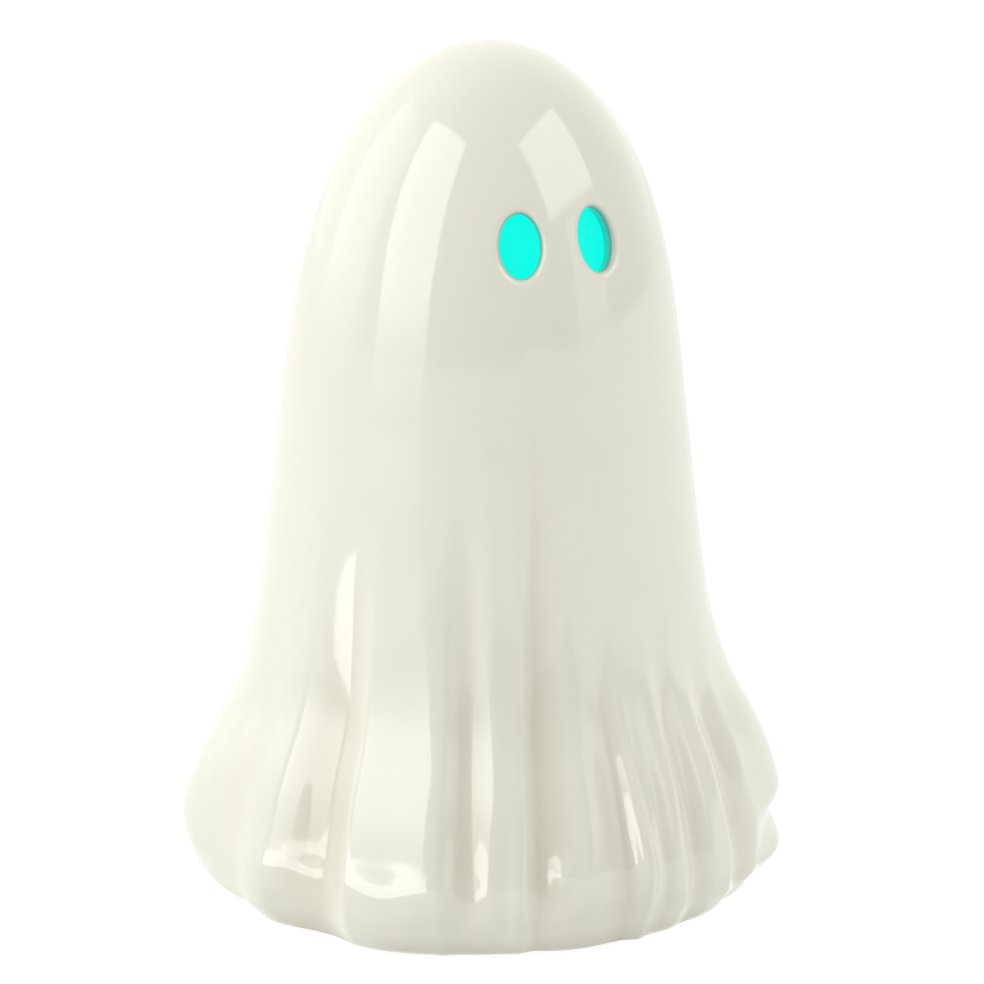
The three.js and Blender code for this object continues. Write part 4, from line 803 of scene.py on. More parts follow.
def block(weave, low, high, edge=0.2, corner=None):
    """A box of rounded rectangles, drawn in at the top and bottom by a quarter circle."""
    low, high = np.array(low, float), np.array(high, float)
    edge = min(edge, 0.45 * float((high - low).min()))
    corner = max(1.6 * edge, corner or 0)
    corner = min(corner, 0.49 * float((high - low)[:2].min()))
    edge = min(edge, 0.7 * corner)
    turn = np.radians(np.linspace(0, 90, 5 if corner < 1 else 9))
    quarters = np.radians([-90, 0, 90, 180])[:, None] + turn
    centres = np.array([(high[0], low[1]), (high[0], high[1]), (low[0], high[1]), (low[0], low[1])])
    centres = centres + np.array([(-1, 1), (-1, -1), (1, -1), (1, 1)]) * corner
    lift = np.radians([90, 60, 30, 0])
    inset = edge * (1 - np.cos(lift))
    drop = edge * (1 - np.sin(lift))
    levels = np.concatenate([high[2] - drop, low[2] + drop[::-1]])
    rings = []
    for level, less in zip(levels, np.concatenate([inset, inset[::-1]])):
        flat = centres[:, None] + (corner - less) * np.stack([np.cos(quarters), np.sin(quarters)], -1)
        flat = flat.reshape(-1, 2)
        rings.append(weave.add(np.concatenate([flat, np.full((len(flat), 1), level)], -1)))
    weave.bands(rings)
    weave.keep([rings[0]])
    weave.keep([rings[-1][::-1]])


def swept(weave, path, section, side, sizes=None):
    """An outline of (u, v) carried along a path: place + size (u side + v up), square to the path.

    up is the path's direction crossed with side, and both ends are closed by flat faces.
    """
    path = np.asarray(path, float)
    along = unit_of(np.gradient(path, axis=0))
    side = np.broadcast_to(np.asarray(side, float), path.shape)
    side = unit_of(side - (side * along).sum(-1, keepdims=True) * along)
    up = np.cross(along, side)
    section = np.asarray(section, float)
    sizes = np.ones(len(path)) if sizes is None else np.asarray(sizes, float)
    flat = sizes[:, None, None] * section[None]
    numbers = weave.add(path[:, None] + flat[..., :1] * side[:, None] + flat[..., 1:] * up[:, None])
    weave.bands(list(numbers[::-1]))
    weave.keep([numbers[-1]])
    weave.keep([numbers[0][::-1]])


def circle(radius, sides):
    return spots(np.arange(sides) * 360 / sides, radius)


def quarter(radius, base, rise, steps):
    """Radius and height up a quarter of an ellipse, which ends on the axis."""
    a = np.radians(np.linspace(0, 90, steps))
    line = np.stack([radius * np.cos(a), base + rise * np.sin(a)], -1)
    line[-1, 0] = 0
    return line


def rectangle(half_width, half_height, edge):
    """A rectangle with cut corners, anticlockwise."""
    w, h, e = half_width, half_height, edge
    return [(w, -h + e), (w, h - e), (w - e, h), (-w + e, h), (-w, h - e), (-w, -h + e), (-w + e, -h),
            (w - e, -h)]


def smooth_path(points, steps=16):
    """A centripetal Catmull-Rom curve through points: a cubic Hermite curve between each two."""
    points = np.asarray(points, float)
    p = np.concatenate([[2 * points[0] - points[1]], points, [2 * points[-1] - points[-2]]])
    gap = np.sqrt(np.linalg.norm(np.diff(p, axis=0), axis=-1))[:, None]
    slope = np.diff(p, axis=0) / gap
    across = (p[2:] - p[:-2]) / (gap[1:] + gap[:-1])
    tangent = slope[:-1] - across + slope[1:]
    start, end = tangent[:-1] * gap[1:-1], tangent[1:] * gap[1:-1]
    t = (np.arange(steps) / steps)[:, None, None]
    curve = ((2 * t ** 3 - 3 * t ** 2 + 1) * points[:-1] + (t ** 3 - 2 * t ** 2 + t) * start
             + (3 * t ** 2 - 2 * t ** 3) * points[1:] + (t ** 3 - t ** 2) * end)
    return np.concatenate([curve.transpose(1, 0, 2).reshape(-1, 3), points[-1:]])


def carved(name, shapes, cuts, smooth=32):
    """One moulding: the union of some closed shapes, less some cuts."""
    tools = [(shape.piece("shape", 180), "UNION") for shape in shapes]
    base = tools.pop(0)[0]
    tools += [(cut.piece("cut", 180), "DIFFERENCE") for cut in cuts]
    for tool, kind in tools:
        step = base.modifiers.new("carve", "BOOLEAN")
        step.operation, step.solver, step.object = kind, "EXACT", tool
    whole = base.evaluated_get(bpy.context.evaluated_depsgraph_get())
    mesh = bpy.data.meshes.new_from_object(whole)
    for tool in [base, *(tool for tool, kind in tools)]:
        spare = tool.data
        bpy.data.objects.remove(tool)
        bpy.data.meshes.remove(spare)
    mesh.name = name
    mesh.shade_smooth()
    mesh.set_sharp_from_angle(angle=math.radians(smooth))
    piece = bpy.data.objects.new(name, mesh)
    bpy.context.scene.collection.objects.link(piece)
    return piece


def shape_of(maker, *values, **settings):
    """A weave that holds one turned shape, block or swept shape."""
    weave = Weave()
    maker(weave, *values, **settings)
    return weave


def disc(radius, low, high, sides, at=(0, 0, 0)):
    """A plain upright cylinder."""
    return shape_of(turned, [(0, low), (radius, low), (radius, high), (0, high)], sides, at)


def brick(low, high, edge=0.2, corner=None):
    """A block from its lowest corner to its highest."""
    return shape_of(block, low, high, edge, corner)


def slab(place, halves, low, high, edge=0.2, corner=None):
    """A block centred over a place, from a half width and a half depth."""
    (x, y), (w, d) = place, halves
    return brick((x - w, y - d, low), (x + w, y + d, high), edge, corner)


def marked(piece, name, values):
    """Keeps a number for each point of a piece, for its material."""
    layer = piece.data.attributes.new(name, "FLOAT", "POINT")
    layer.data.foreach_set("value", np.asarray(values, float))
    return piece


def places_of(piece):
    """The points of a piece in mm round the axis."""
    flat = np.empty(len(piece.data.vertices) * 3)
    piece.data.vertices.foreach_get("co", flat)
    return flat.reshape(-1, 3) / MM - (*AXIS_MM, 0)


def unit_levels():
    """Heights and half sizes of the light unit in mm, from the table up."""
    body, unit = settings("body"), settings("unit")
    gap = unit.clearance
    at = SimpleNamespace(gap=gap)
    at.flange_top = body.foot + body.recess - gap
    at.flange = at.flange_top - unit.flange_thickness
    at.door_top = at.flange + unit.door_thickness
    at.ledge = at.door_top + gap
    at.tongue_top = at.flange + unit.tongue_thickness
    at.hook = at.flange_top + unit.running_gap
    at.seat_top = at.flange_top + 1.3
    at.switch = at.seat_top + gap
    at.switch_top = at.switch + 3.6
    at.pin_top = at.switch_top + 2.6
    at.gasket = at.flange_top + gap
    at.gasket_top = at.gasket + unit.gasket_height
    at.tongue_box = at.tongue_top + gap + unit.plastic
    at.cell = at.door_top + 0.6 + unit.cell_diameter / 2
    at.roof = at.cell + unit.cell_diameter / 2 + gap
    at.roof_top = at.roof + unit.plastic
    at.cup_top = at.flange_top + unit.cup_height
    at.post_top = at.roof_top + 2.2
    at.board = at.post_top + gap
    at.board_top = at.board + unit.board_thickness
    at.board_part = at.board_top + gap
    at.cover = at.cup_top + gap
    at.cover_top = at.cover + unit.cover_thickness
    at.tray_x = 1.5 * unit.cell_pitch + gap
    at.tray_y = (unit.cell_length + unit.spring_room + 1) / 2 + CONTACT_SHEET + 2 * gap
    at.contact_y = at.tray_y - gap - CONTACT_SHEET
    at.nub_y = at.contact_y - 1 - gap
    at.door_x = at.tray_x + 1.2 - gap
    at.door_y = at.tray_y + 1.2 - gap
    at.tongue_end = -(at.door_x + 11.3)
    at.door_screw = at.tongue_end + 4
    at.cup_inner = unit.cup_radius - unit.cup_wall
    return at


CONTACT_SHEET = 0.4
SPRING_TURNS, SPRING_BASE, SPRING_TIP, SPRING_WIRE = 3.5, 3.5, 2.3, 0.35  # radii, as the wire's
TONGUE = 5  # half its width
SCREW_HOLE = 1.2
DOOR_SCREW_SEAT = 1.4
KNOB_Y = 1.3
PIN_PITCH = 1.27
RESISTOR_X = 12.2
COVER_SCREWS = spots([90, 210, 330], 27)
BOARD_SCREWS = ((-13.5, 9), (13.5, -9))
CELLS = ((-11, 1), (0, -1), (11, 1))  # place along X, and which way the nub looks along Y
HOOKS = (-16, 16)


class GHOST_OT_foot_pads(bpy.types.Operator):
    """Builds the four soft pads under the foot ring."""
    bl_idname = "ghost.foot_pads"
    bl_label = "Foot pads"

    def execute(self, context):
        body = context.scene.ghost_body
        material = foam_material()
        for i, (x, y) in enumerate(spots([45, 135, 225, 315], body.foot_ring + 4.4)):
            section = rounded([(0, 0), (4, 0), (4, body.foot), (0, body.foot)], 0.25)
            piece = shape_of(turned, section, 64, (x, y, 0)).piece(f"felt_pad_{i + 1}")
            finished(piece, material, "foam", "ghost", f"foot_pad_{i + 1}")
        return {"FINISHED"}


class GHOST_OT_housing(bpy.types.Operator):
    """Builds the moulded cup and flange with the battery tray, its gasket and its cover."""
    bl_idname = "ghost.housing"
    bl_label = "Light housing"

    def execute(self, context):
        unit, at = context.scene.ghost_unit, unit_levels()
        plastic = moulded_material()
        shapes, cuts = self.shapes(unit, at), self.cuts(unit, at)
        finished(carved("moulded_housing", shapes, cuts), plastic, "white_plastic", "light_unit",
                 "light_housing")
        self.gasket(unit, at)
        spigot, hole = at.cup_inner - at.gap, unit.dome_radius + at.gap
        section = [(20, at.cover), (spigot - 1.1, at.cover), (spigot - 1.1, at.cover - 2),
                   (spigot, at.cover - 2), (spigot, at.cover), (unit.cup_radius, at.cover),
                   (unit.cup_radius, at.cover_top), (hole, at.cover_top), (hole, at.cover),
                   (20, at.cover)]
        holes = [disc(SCREW_HOLE, -4, 4, 32, (x, y, at.cover))
                 for x, y in COVER_SCREWS]
        cover = carved("round_cover", [shape_of(turned, rounded(section, 0.35, 4), 144)], holes)
        finished(cover, plastic, "white_plastic", "light_unit", "top_cover")
        return {"FINISHED"}

    def shapes(self, unit, at):
        """Flange, cup, bead, tray, tongue's box, switch seat, bosses and posts."""
        cup, inner, low = unit.cup_radius, at.cup_inner, at.flange + 0.5
        bead = at.gasket_top + at.gap
        wall_x, wall_y = at.tray_x + unit.plastic, at.tray_y + unit.plastic
        side, reach = TONGUE + at.gap + unit.plastic, unit.flange_radius
        flange = [(0, at.flange), (reach, at.flange), (reach, at.flange_top), (0, at.flange_top)]
        wall = [(cup, low), (cup, bead), (cup + unit.bead, bead + unit.bead),
                (cup, bead + 2 * unit.bead), (cup, at.cup_top), (inner, at.cup_top), (inner, low),
                (cup, low)]
        made = [
            shape_of(turned, rounded(flange, 0.5), 160),
            shape_of(turned, rounded(wall, 0.3, 4), 160),
            slab((0, 0), (wall_x, wall_y), at.flange + 0.7, at.roof_top, 0.4),
            brick((at.tongue_end - unit.plastic, -side, at.flange + 0.6),
                     (-at.tray_x - 0.7, side, at.tongue_box), 0.4),
            disc(unit.boss_radius, at.tongue_box - 0.5, at.tongue_box + 5, 40,
                     (at.door_screw, 0, 0)),
            slab((unit.switch_x, 0), (4.7, 7.7), at.flange + 0.55, at.seat_top, 0.3),
        ]
        for y in (-6.1, 4.6):
            made.append(brick((unit.switch_x - 3.4, y, at.flange_top - 0.3),
                              (unit.switch_x + 3.4, y + 1.5, at.switch + 2.52), 0.25))
        for x, y in COVER_SCREWS:
            start = at.roof + 0.1 if abs(y) > at.tray_y - unit.boss_radius else at.flange_top - 0.3
            made.append(disc(unit.boss_radius, start, at.cup_top, 40, (x, y, 0)))
        for x, y in BOARD_SCREWS:
            made.append(disc(2.5, at.roof + 0.5, at.post_top, 40, (x, y, 0)))
        return made

    def cuts(self, unit, at):
        """Room for the cells, the door with its tongue and hooks, the contacts, screws and knob."""
        low, x, y, gap = at.flange - 0.5, at.tray_x, at.tray_y, at.gap
        made = [
            slab((0, 0), (x, y), low, at.roof),
            slab((0, 0), (at.door_x + gap, at.door_y + gap), low, at.ledge, 0.15),
            brick((at.tongue_end - gap, -TONGUE - gap, low),
                  (1 - at.door_x, TONGUE + gap, at.tongue_top + gap), 0.15),
            disc(1.5, at.flange, at.tongue_box + 3.5, 32, (at.door_screw, 0, 0)),
            slab((unit.switch_x, 0), (3.2, 6.2), low, at.flange + 1.2, 0.3),
            slab((unit.switch_x, 0), (1.4, 2.7), at.flange, at.switch + 0.5, 0.1),
        ]
        for place in HOOKS:
            made.append(brick((x - 0.5, place - 3.9, at.ledge - 0.5),
                              (x + unit.plastic + 0.5, place + 3.9, at.hook + 2.1), 0.1))
        for cell, end in ((11, 1), (-11, -1)):
            near, far = sorted((end * (y - 1.2), end * y))
            made.append(brick((cell - 1.5, near, at.roof - 0.5),
                              (cell + 1.5, far, at.roof_top + 0.5), 0.05))
        for places, start, end in ((COVER_SCREWS, at.cup_top - 6, at.cup_top + 0.5),
                                   (BOARD_SCREWS, at.board_part - 4.5, at.board)):
            for px, py in places:
                made.append(disc(SCREW_HOLE, start, end, 28, (px, py, 0)))
        return made

    def gasket(self, unit, at):
        inner = unit.cup_radius + at.gap
        sleeve = inner + 1.1
        tip = settings("body").opening - at.gap
        pitch = unit.gasket_height / 2
        section = [(inner, at.gasket + 1), (inner, at.gasket), (sleeve, at.gasket)]
        for z in (at.gasket, at.gasket + pitch):
            section += [(sleeve, z + pitch * 0.2), (tip, z + pitch * 0.45), (tip, z + pitch * 0.6),
                        (sleeve, z + pitch * 0.8)]
        section += [(sleeve, at.gasket_top), (inner, at.gasket_top), (inner, at.gasket + 1)]
        piece = shape_of(turned, rounded(section, 0.22, 4), 160).piece("finned_gasket")
        finished(piece, silicone_material(), "silicone", "light_unit", "housing_gasket")


class GHOST_OT_dome(bpy.types.Operator):
    """Builds the frosted dome over the lamps."""
    bl_idname = "ghost.dome"
    bl_label = "Dome"

    def execute(self, context):
        unit, at = context.scene.ghost_unit, unit_levels()
        radius, wall = unit.dome_radius, unit.dome_wall
        flange, start = at.cover_top + at.gap, at.cover + at.gap
        shoulder = flange + unit.dome_shoulder
        rise = unit.dome_height - unit.dome_shoulder
        outer = quarter(radius, shoulder, rise, 19)
        inner = quarter(radius - wall, shoulder, rise - wall, 19)
        rim, rim_top = radius + unit.dome_flange, flange + 1.2
        foot = rounded([(radius - wall, start + 1), (radius - wall, start), (radius, start),
                        (radius, flange), (rim, flange), (rim, rim_top), (radius, rim_top),
                        (radius, shoulder - 0.2)], 0.25, 4)
        section = np.concatenate([inner[::-1], foot, outer])
        piece = shape_of(turned, section, 128).piece("frosted_dome", 40)
        finished(piece, frosted_material(), "frosted_plastic", "light_unit", "diffuser_dome")
        return {"FINISHED"}


class GHOST_OT_circuit(bpy.types.Operator):
    """Builds the circuit board with its lamps, chip and resistors."""
    bl_idname = "ghost.circuit"
    bl_label = "Circuit board"

    def execute(self, context):
        unit, at = context.scene.ghost_unit, unit_levels()
        w, d = unit.board_width / 2, unit.board_depth / 2
        plate = brick((-w, -d, at.board), (w, d, at.board_top), 0.08, 2)
        holes = [disc(SCREW_HOLE, -4, 4, 32, (x, y, at.board))
                 for x, y in BOARD_SCREWS]
        joints = Weave()
        lamps = spots([90, 210, 330], 5.2)
        chip, rows = (-11.5, -2), 1.5 + 4.4 * np.arange(-1, 2)
        solder = [(x + side * PIN_PITCH, y) for x, y in lamps for side in (-1, 1)]
        solder += [(RESISTOR_X + side * 4, y) for y in rows for side in (-1, 1)]
        solder += [(w - 1.4, -d / 2), (-w + 3, -d + 2.6)]
        for x, y in solder:
            turned(joints, [(0, -0.1), (0.85, -0.1), (0.8, 0.03), (0.5, 0.1), (0.32, 0.22), (0.22, 0.34),
                            (0, 0.36)], 20, (x, y, at.board_top))
        for k in range(4):
            for side in (-1, 1):
                x, y = chip[0] + side * 2.75, chip[1] + (k - 1.5) * PIN_PITCH
                block(joints, (x - 0.6, y - 0.33, at.board_top - 0.1),
                      (x + 0.6, y + 0.33, at.board_top + 0.3), 0.1)
        board = carved("green_board", [plate, joints], holes)
        x, y, z = places_of(board).T
        marked(board, "solder", z > at.board_top + 0.004)
        finished(board, board_material(), "board", "light_unit", "circuit_board")
        for word, (x, y) in zip(("red", "green", "blue"), lamps):
            r, top = unit.lamp_diameter / 2, unit.lamp_height - unit.lamp_diameter / 2
            dome = quarter(r, top, r, 13)
            foot = rounded([(0, 0), (2.9, 0), (2.9, 1), (r, 1), (r, top - 0.1)], 0.12, 3)
            lamp = shape_of(turned, np.concatenate([foot, dome]), 48, (x, y, at.board_part))
            finished(lamp.piece(f"lamp_{word}", 40), lamp_material(word), "lamp_resin",
                     "light_unit", f"led_{word}")
        self.chip(at, chip)
        for i, y in enumerate(rows):
            self.resistor(at, i, y)
        return {"FINISHED"}

    def chip(self, at, place):
        """A black body with a dimple at one corner, and legs swept down to their solder."""
        z = at.board_part
        body = slab(place, (2, 2.5), z + 0.2, z + 1.6, 0.12)
        dot = disc(0.35, 0, 1, 20,
                       (place[0] - 1.3, place[1] + 1.8, z + 1.48))
        body = carved("logic_chip", [body], [dot], 30)
        pins = Weave()
        for k in range(4):
            for side in (-1, 1):
                y = place[1] + (k - 1.5) * PIN_PITCH
                line = [(1.8, 0.75), (2.3, 0.75), (2.42, 0.7), (2.5, 0.5), (2.56, 0.25), (2.66, 0.12),
                        (3, 0.1)]
                path = [(place[0] + side * across, y, z + up) for across, up in line]
                swept(pins, path, rectangle(0.2, 0.09, 0.03), (0, 1, 0))
        self.joined(body, pins.piece("pins", 30))
        marked(body, "metal", np.abs(places_of(body)[:, 0] - place[0]) > 2.01)
        finished(body, chip_material(), "black_plastic", "light_unit", "control_chip")

    def joined(self, piece, other):
        """Adds another piece's mesh to a piece."""
        with bpy.context.temp_override(active_object=piece, selected_editable_objects=[piece, other],
                                       object=piece, selected_objects=[piece, other]):
            bpy.ops.object.join()

    def resistor(self, at, i, y):
        """A dumb-bell body with wire ends bent down; a quarter turn joins each end's two runs."""
        r, half = 1.15, 3.0
        section = rounded([(0, -half), (r * 0.8, -half), (r, -half + 0.6), (r, -1.6), (r * 0.82, -1.2),
                           (r * 0.82, 1.2), (r, 1.6), (r, half - 0.6), (r * 0.8, half), (0, half)], 0.4)
        weave, middle = Weave(), at.board_part + r + 0.2
        turned(weave, section, 36, (RESISTOR_X, y, middle), "X")
        body = weave.count
        for side in (-1, 1):
            line = [(2.8, 0), (3.6, 0), (3.85, -0.06), (4, -0.3), (4, -0.8), (4, -1.35)]
            path = [(RESISTOR_X + side * across, y, middle + up) for across, up in line]
            swept(weave, path, circle(0.27, 12), (0, 1, 0))
        piece = weave.piece(f"ballast_{i + 1}", 40)
        metal = np.arange(weave.count) >= body
        marked(piece, "metal", metal)
        marked(piece, "along", np.where(metal, 9, places_of(piece)[:, 0] - RESISTOR_X))
        finished(piece, resistor_material(), "resistor_ceramic", "light_unit", f"resistor_{i + 1}")


class GHOST_OT_cells(bpy.types.Operator):
    """Builds the three cells, and the contacts that they stand between."""
    bl_idname = "ghost.cells"
    bl_label = "Cells and contacts"

    def execute(self, context):
        unit, at = context.scene.ghost_unit, unit_levels()
        jacket, steel = cell_material(), steel_material("Plated contact steel", 0.28)
        r, nub, length = unit.cell_diameter / 2, unit.nub_diameter / 2, unit.cell_length
        body = length - unit.nub_height
        section = rounded([
            (0, 0.25), (r - 1.5, 0.25), (r - 1.3, 0), (r - 0.2, 0), (r, 0.5), (r, body - 0.5),
            (r - 0.3, body), (r - 1, body), (r - 1.1, body - 0.25), (nub + 0.2, body - 0.25),
            (nub, length - 0.1), (0, length)], 0.25, 4)
        for i, (x, way) in enumerate(CELLS):
            place = (x, way * (at.nub_y - length), at.cell)
            cell = shape_of(turned, section, 72, place, "Y" if way > 0 else "-Y")
            piece = cell.piece(f"cell_{i + 1}", 50)
            px, py, pz = places_of(piece).T
            along = way * py - (at.nub_y - length)
            radius = np.hypot(px - x, pz - at.cell)
            marked(piece, "along", along)
            marked(piece, "metal", (radius < r - 0.95) & ((along > body - 0.5) | (along < 0.6)))
            finished(piece, jacket, "cell_jacket", "light_unit", f"battery_{i + 1}")
        for name, cells, end, tab in (
                ("positive", (2,), 1, True), ("bridge_rear", (0, 1), 1, False),
                ("bridge_front", (1, 2), -1, False), ("negative", (0,), -1, True)):
            piece = self.contact(at, cells, end, tab).piece(f"spring_plate_{name}", 40)
            finished(piece, steel, "contact_steel", "light_unit", f"contact_{name}")
        return {"FINISHED"}

    def contact(self, at, cells, end, tab):
        """A plate with a dimple for each nub, and a conical coil for each flat end."""
        weave, spring_room = Weave(), settings("unit").spring_room
        left, right = CELLS[cells[0]][0] - 4.2, CELLS[cells[-1]][0] + 4.2
        low, high = sorted((end * at.contact_y, end * (at.contact_y + CONTACT_SHEET)))
        block(weave, (left, low, at.cell - 4.5), (right, high, at.cell + 4.5), 0.12, 0.18)
        for i in cells:
            x, way = CELLS[i]
            centre = np.array([x, end * at.contact_y, at.cell])
            if way == end:
                turned(weave, rounded([(0, -0.2), (2.6, -0.2), (2.4, 0), (1.6, 0.75), (0, 1)], 0.5), 40,
                       centre, "-Y" if end > 0 else "Y")
                continue
            turn = np.arange(0, SPRING_TURNS + 1e-6, 1 / 32)
            a = 2 * np.pi * turn
            radius = SPRING_BASE + (SPRING_TIP - SPRING_BASE) * turn / SPRING_TURNS
            reach = spring_room - at.gap - SPRING_WIRE
            out = np.stack([np.cos(a), np.zeros_like(a), np.sin(a)], -1)
            path = out * radius[:, None] + np.stack([0 * a, reach * turn / SPRING_TURNS, 0 * a], -1)
            flip = np.array([-end, -end, 1])
            swept(weave, centre + path * flip, circle(SPRING_WIRE, 12), out * flip)
        if tab:
            x = CELLS[cells[0]][0]
            block(weave, (x - 1.2, low, at.cell), (x + 1.2, high, at.post_top), 0.12, 0.18)
        return weave


class GHOST_OT_switch(bpy.types.Operator):
    """Builds the slide switch and its grooved knob."""
    bl_idname = "ghost.switch"
    bl_label = "Slide switch"

    def execute(self, context):
        unit, at = context.scene.ghost_unit, unit_levels()
        x, top = unit.switch_x, at.switch_top
        can = slab((x, 0), (1.9, 4.3), at.switch, top, 0.3)
        slot = slab((x, 0), (1.4, 2.7), at.switch - 0.5, at.switch + 1.5, 0.1)
        pins = [slab((x, y), (0.3, 0.4), top - 0.5, at.pin_top, 0.1) for y in (-2.5, 0, 2.5)]
        tabs = [slab((x + side * 1.9, y), (0.12, 0.6), at.switch + 0.1, at.switch + 1.2, 0.08)
                for side in (-1, 1) for y in (-3, 3)]
        seat = slab((x, 0), (1.5, 3.9), top - 0.3, top + 0.08, 0.06)
        body = carved("slide_switch", [can, seat, *pins, *tabs], [slot])
        steel = steel_material("Switch steel", 0.36)
        finished(body, steel, "switch_steel", "light_unit", "switch_body")
        cap_top = at.flange + 1.2 - at.gap
        cap = slab((x, KNOB_Y), (1.8, 2.3), cap_top - 0.7, cap_top)
        stem = slab((x, KNOB_Y), (1, 1), cap_top - 0.35, at.switch + 1, 0.12)
        grooves = [slab((x, KNOB_Y + k * 1.3), (3, 0.25), cap_top - 1.2, cap_top - 0.4, 0.1)
                   for k in (-1, 0, 1)]
        knob = carved("slide_knob", [cap, stem], grooves)
        finished(knob, black_material(), "black_plastic", "switch_knob", "switch_knob")
        return {"FINISHED"}


class GHOST_OT_battery_door(bpy.types.Operator):
    """Builds the battery door, with two hooks on one edge and a tongue for its screw."""
    bl_idname = "ghost.battery_door"
    bl_label = "Battery door"

    def execute(self, context):
        at = unit_levels()
        w, l, low, top = at.door_x, at.door_y, at.flange, at.door_top
        shapes = [
            slab((0, 0), (w, l), low, top, 0.25, 0.6),
            brick((at.tongue_end, -TONGUE, low), (0.5 - w, TONGUE, at.tongue_top), 0.25, 0.8),
        ]
        for y in HOOKS:
            shapes.append(brick((w - 0.8, y - 3.5, top - 0.5), (w, y + 3.5, at.hook + 0.7), 0.1))
            shapes.append(brick((w - 0.4, y - 3.5, at.hook), (w + 1.9, y + 3.5, at.hook + 0.7), 0.15))
        bevel = shape_of(swept, [(w, -l - 1, low), (w, 0, low), (w, l + 1, low)],
                         [(1.4, 0), (0, 1.4), (-1.4, 0), (0, -1.4)], (1, 0, 0))
        seat = low + DOOR_SCREW_SEAT
        cuts = [
            brick((-w - 0.6, -l, top), (1 - w, l, at.tongue_top + 0.5), 0.05),
            bevel,
            disc(2.5, low - 0.5, seat, 40,
                     (at.door_screw, 0, 0)),
            disc(SCREW_HOLE, low, at.tongue_top + 0.5, 32,
                     (at.door_screw, 0, 0)),
        ]
        for k in range(5):
            x = -14.6 + 1.5 * k
            cuts.append(slab((x, 0), (0.35, 7), low - 0.5, low + 0.35))
        door = carved("tray_door", shapes, cuts)
        finished(door, moulded_material(), "white_plastic", "battery_door", "battery_door")
        return {"FINISHED"}


class GHOST_OT_screws(bpy.types.Operator):
    """Builds the six pan-head screws."""
    bl_idname = "ghost.screws"
    bl_label = "Screws"

    def execute(self, context):
        at = unit_levels()
        steel = steel_material("Zinc-plated screw steel", 0.3)
        jobs = [(f"cover_screw_{i + 1}", *place, at.cover_top + at.gap, 6.0, "Z", "light_unit")
                for i, place in enumerate(COVER_SCREWS)]
        jobs += [(f"board_screw_{i + 1}", *place, at.board_part, 4.0, "Z", "light_unit")
                 for i, place in enumerate(BOARD_SCREWS)]
        seat = at.flange + DOOR_SCREW_SEAT - at.gap
        jobs.append(("door_screw", at.door_screw, 0, seat, 3.9, "-Z", "battery_door"))
        for name, x, y, seat, reach, along, body in jobs:
            weave = Weave()
            self.screw(weave, reach, (x, y, seat), along, 0 if name == "door_screw" else at.gap)
            piece = weave.piece(name.replace("screw", "pan_head"), 40)
            finished(piece, steel, "screw_steel", body, name)
        return {"FINISHED"}

    def screw(self, weave, reach, at, along, sink):
        """A turned head whose top is sunk in a cross, over a shank with a helical ridge.

        The cross is the product of two clipped ramps, across a slot and along it. The ridge is highest
        where the height over the pitch and the turn add up to a half. The seat closes the fitting gap.
        """
        radius, height, shank, pitch = 2.2, 1.3, 0.8, 0.75
        a = np.arange(96) * 2 * np.pi / 96
        share = np.linspace(0, 1, 26)[1:]
        r = np.concatenate([share * radius, radius * np.array([1, 0.99, 0.95])])
        z = np.concatenate([height * (1 - 0.5 * share ** 5), [0.3, 0.1, 0.0]])
        z[len(share):] -= sink
        x, y = np.abs(r[:, None] * np.sin(a)), np.abs(r[:, None] * np.cos(a))
        slot = np.clip((0.27 - np.minimum(x, y)) / 0.1 + 0.5, 0, 1)
        bar = np.clip((1.36 - np.maximum(x, y)) / 0.1 + 0.5, 0, 1)
        on_top = (np.arange(len(r)) < len(share))[:, None]
        depth = 0.75 * (1 - 0.3 * np.maximum(x, y)) * slot * bar * on_top
        rows = np.linspace(0, reach - 0.9, int((reach - 0.9) / pitch * 10))[1:]
        crest = 1 - 2.6 * np.abs(np.mod(rows[:, None] / pitch + a / (2 * np.pi), 1) - 0.5)
        thread = shank - 0.1 + 0.3 * np.clip(crest, 0, 1) * np.clip(rows[:, None] / 0.4, 0, 1)
        tip = np.linspace(1, 0, 7)[1:-1]
        r = np.concatenate([np.broadcast_to(r[:, None], (len(r), 96)), thread,
                            np.broadcast_to(0.7 * tip[:, None], (len(tip), 96))])
        z = np.concatenate([z[:, None] - depth, np.broadcast_to(-rows[:, None], thread.shape),
                            np.broadcast_to((-reach + 0.9 * tip)[:, None], (len(tip), 96))])
        grid = np.stack([r * np.sin(a), -r * np.cos(a), z], -1) @ np.array(LAID[along], float) + at
        ends = np.array([(0, 0, height - 0.75), (0, 0, -reach)]) @ np.array(LAID[along], float) + at
        weave.bands([weave.add(ends[:1]), *weave.add(grid), weave.add(ends[1:])])


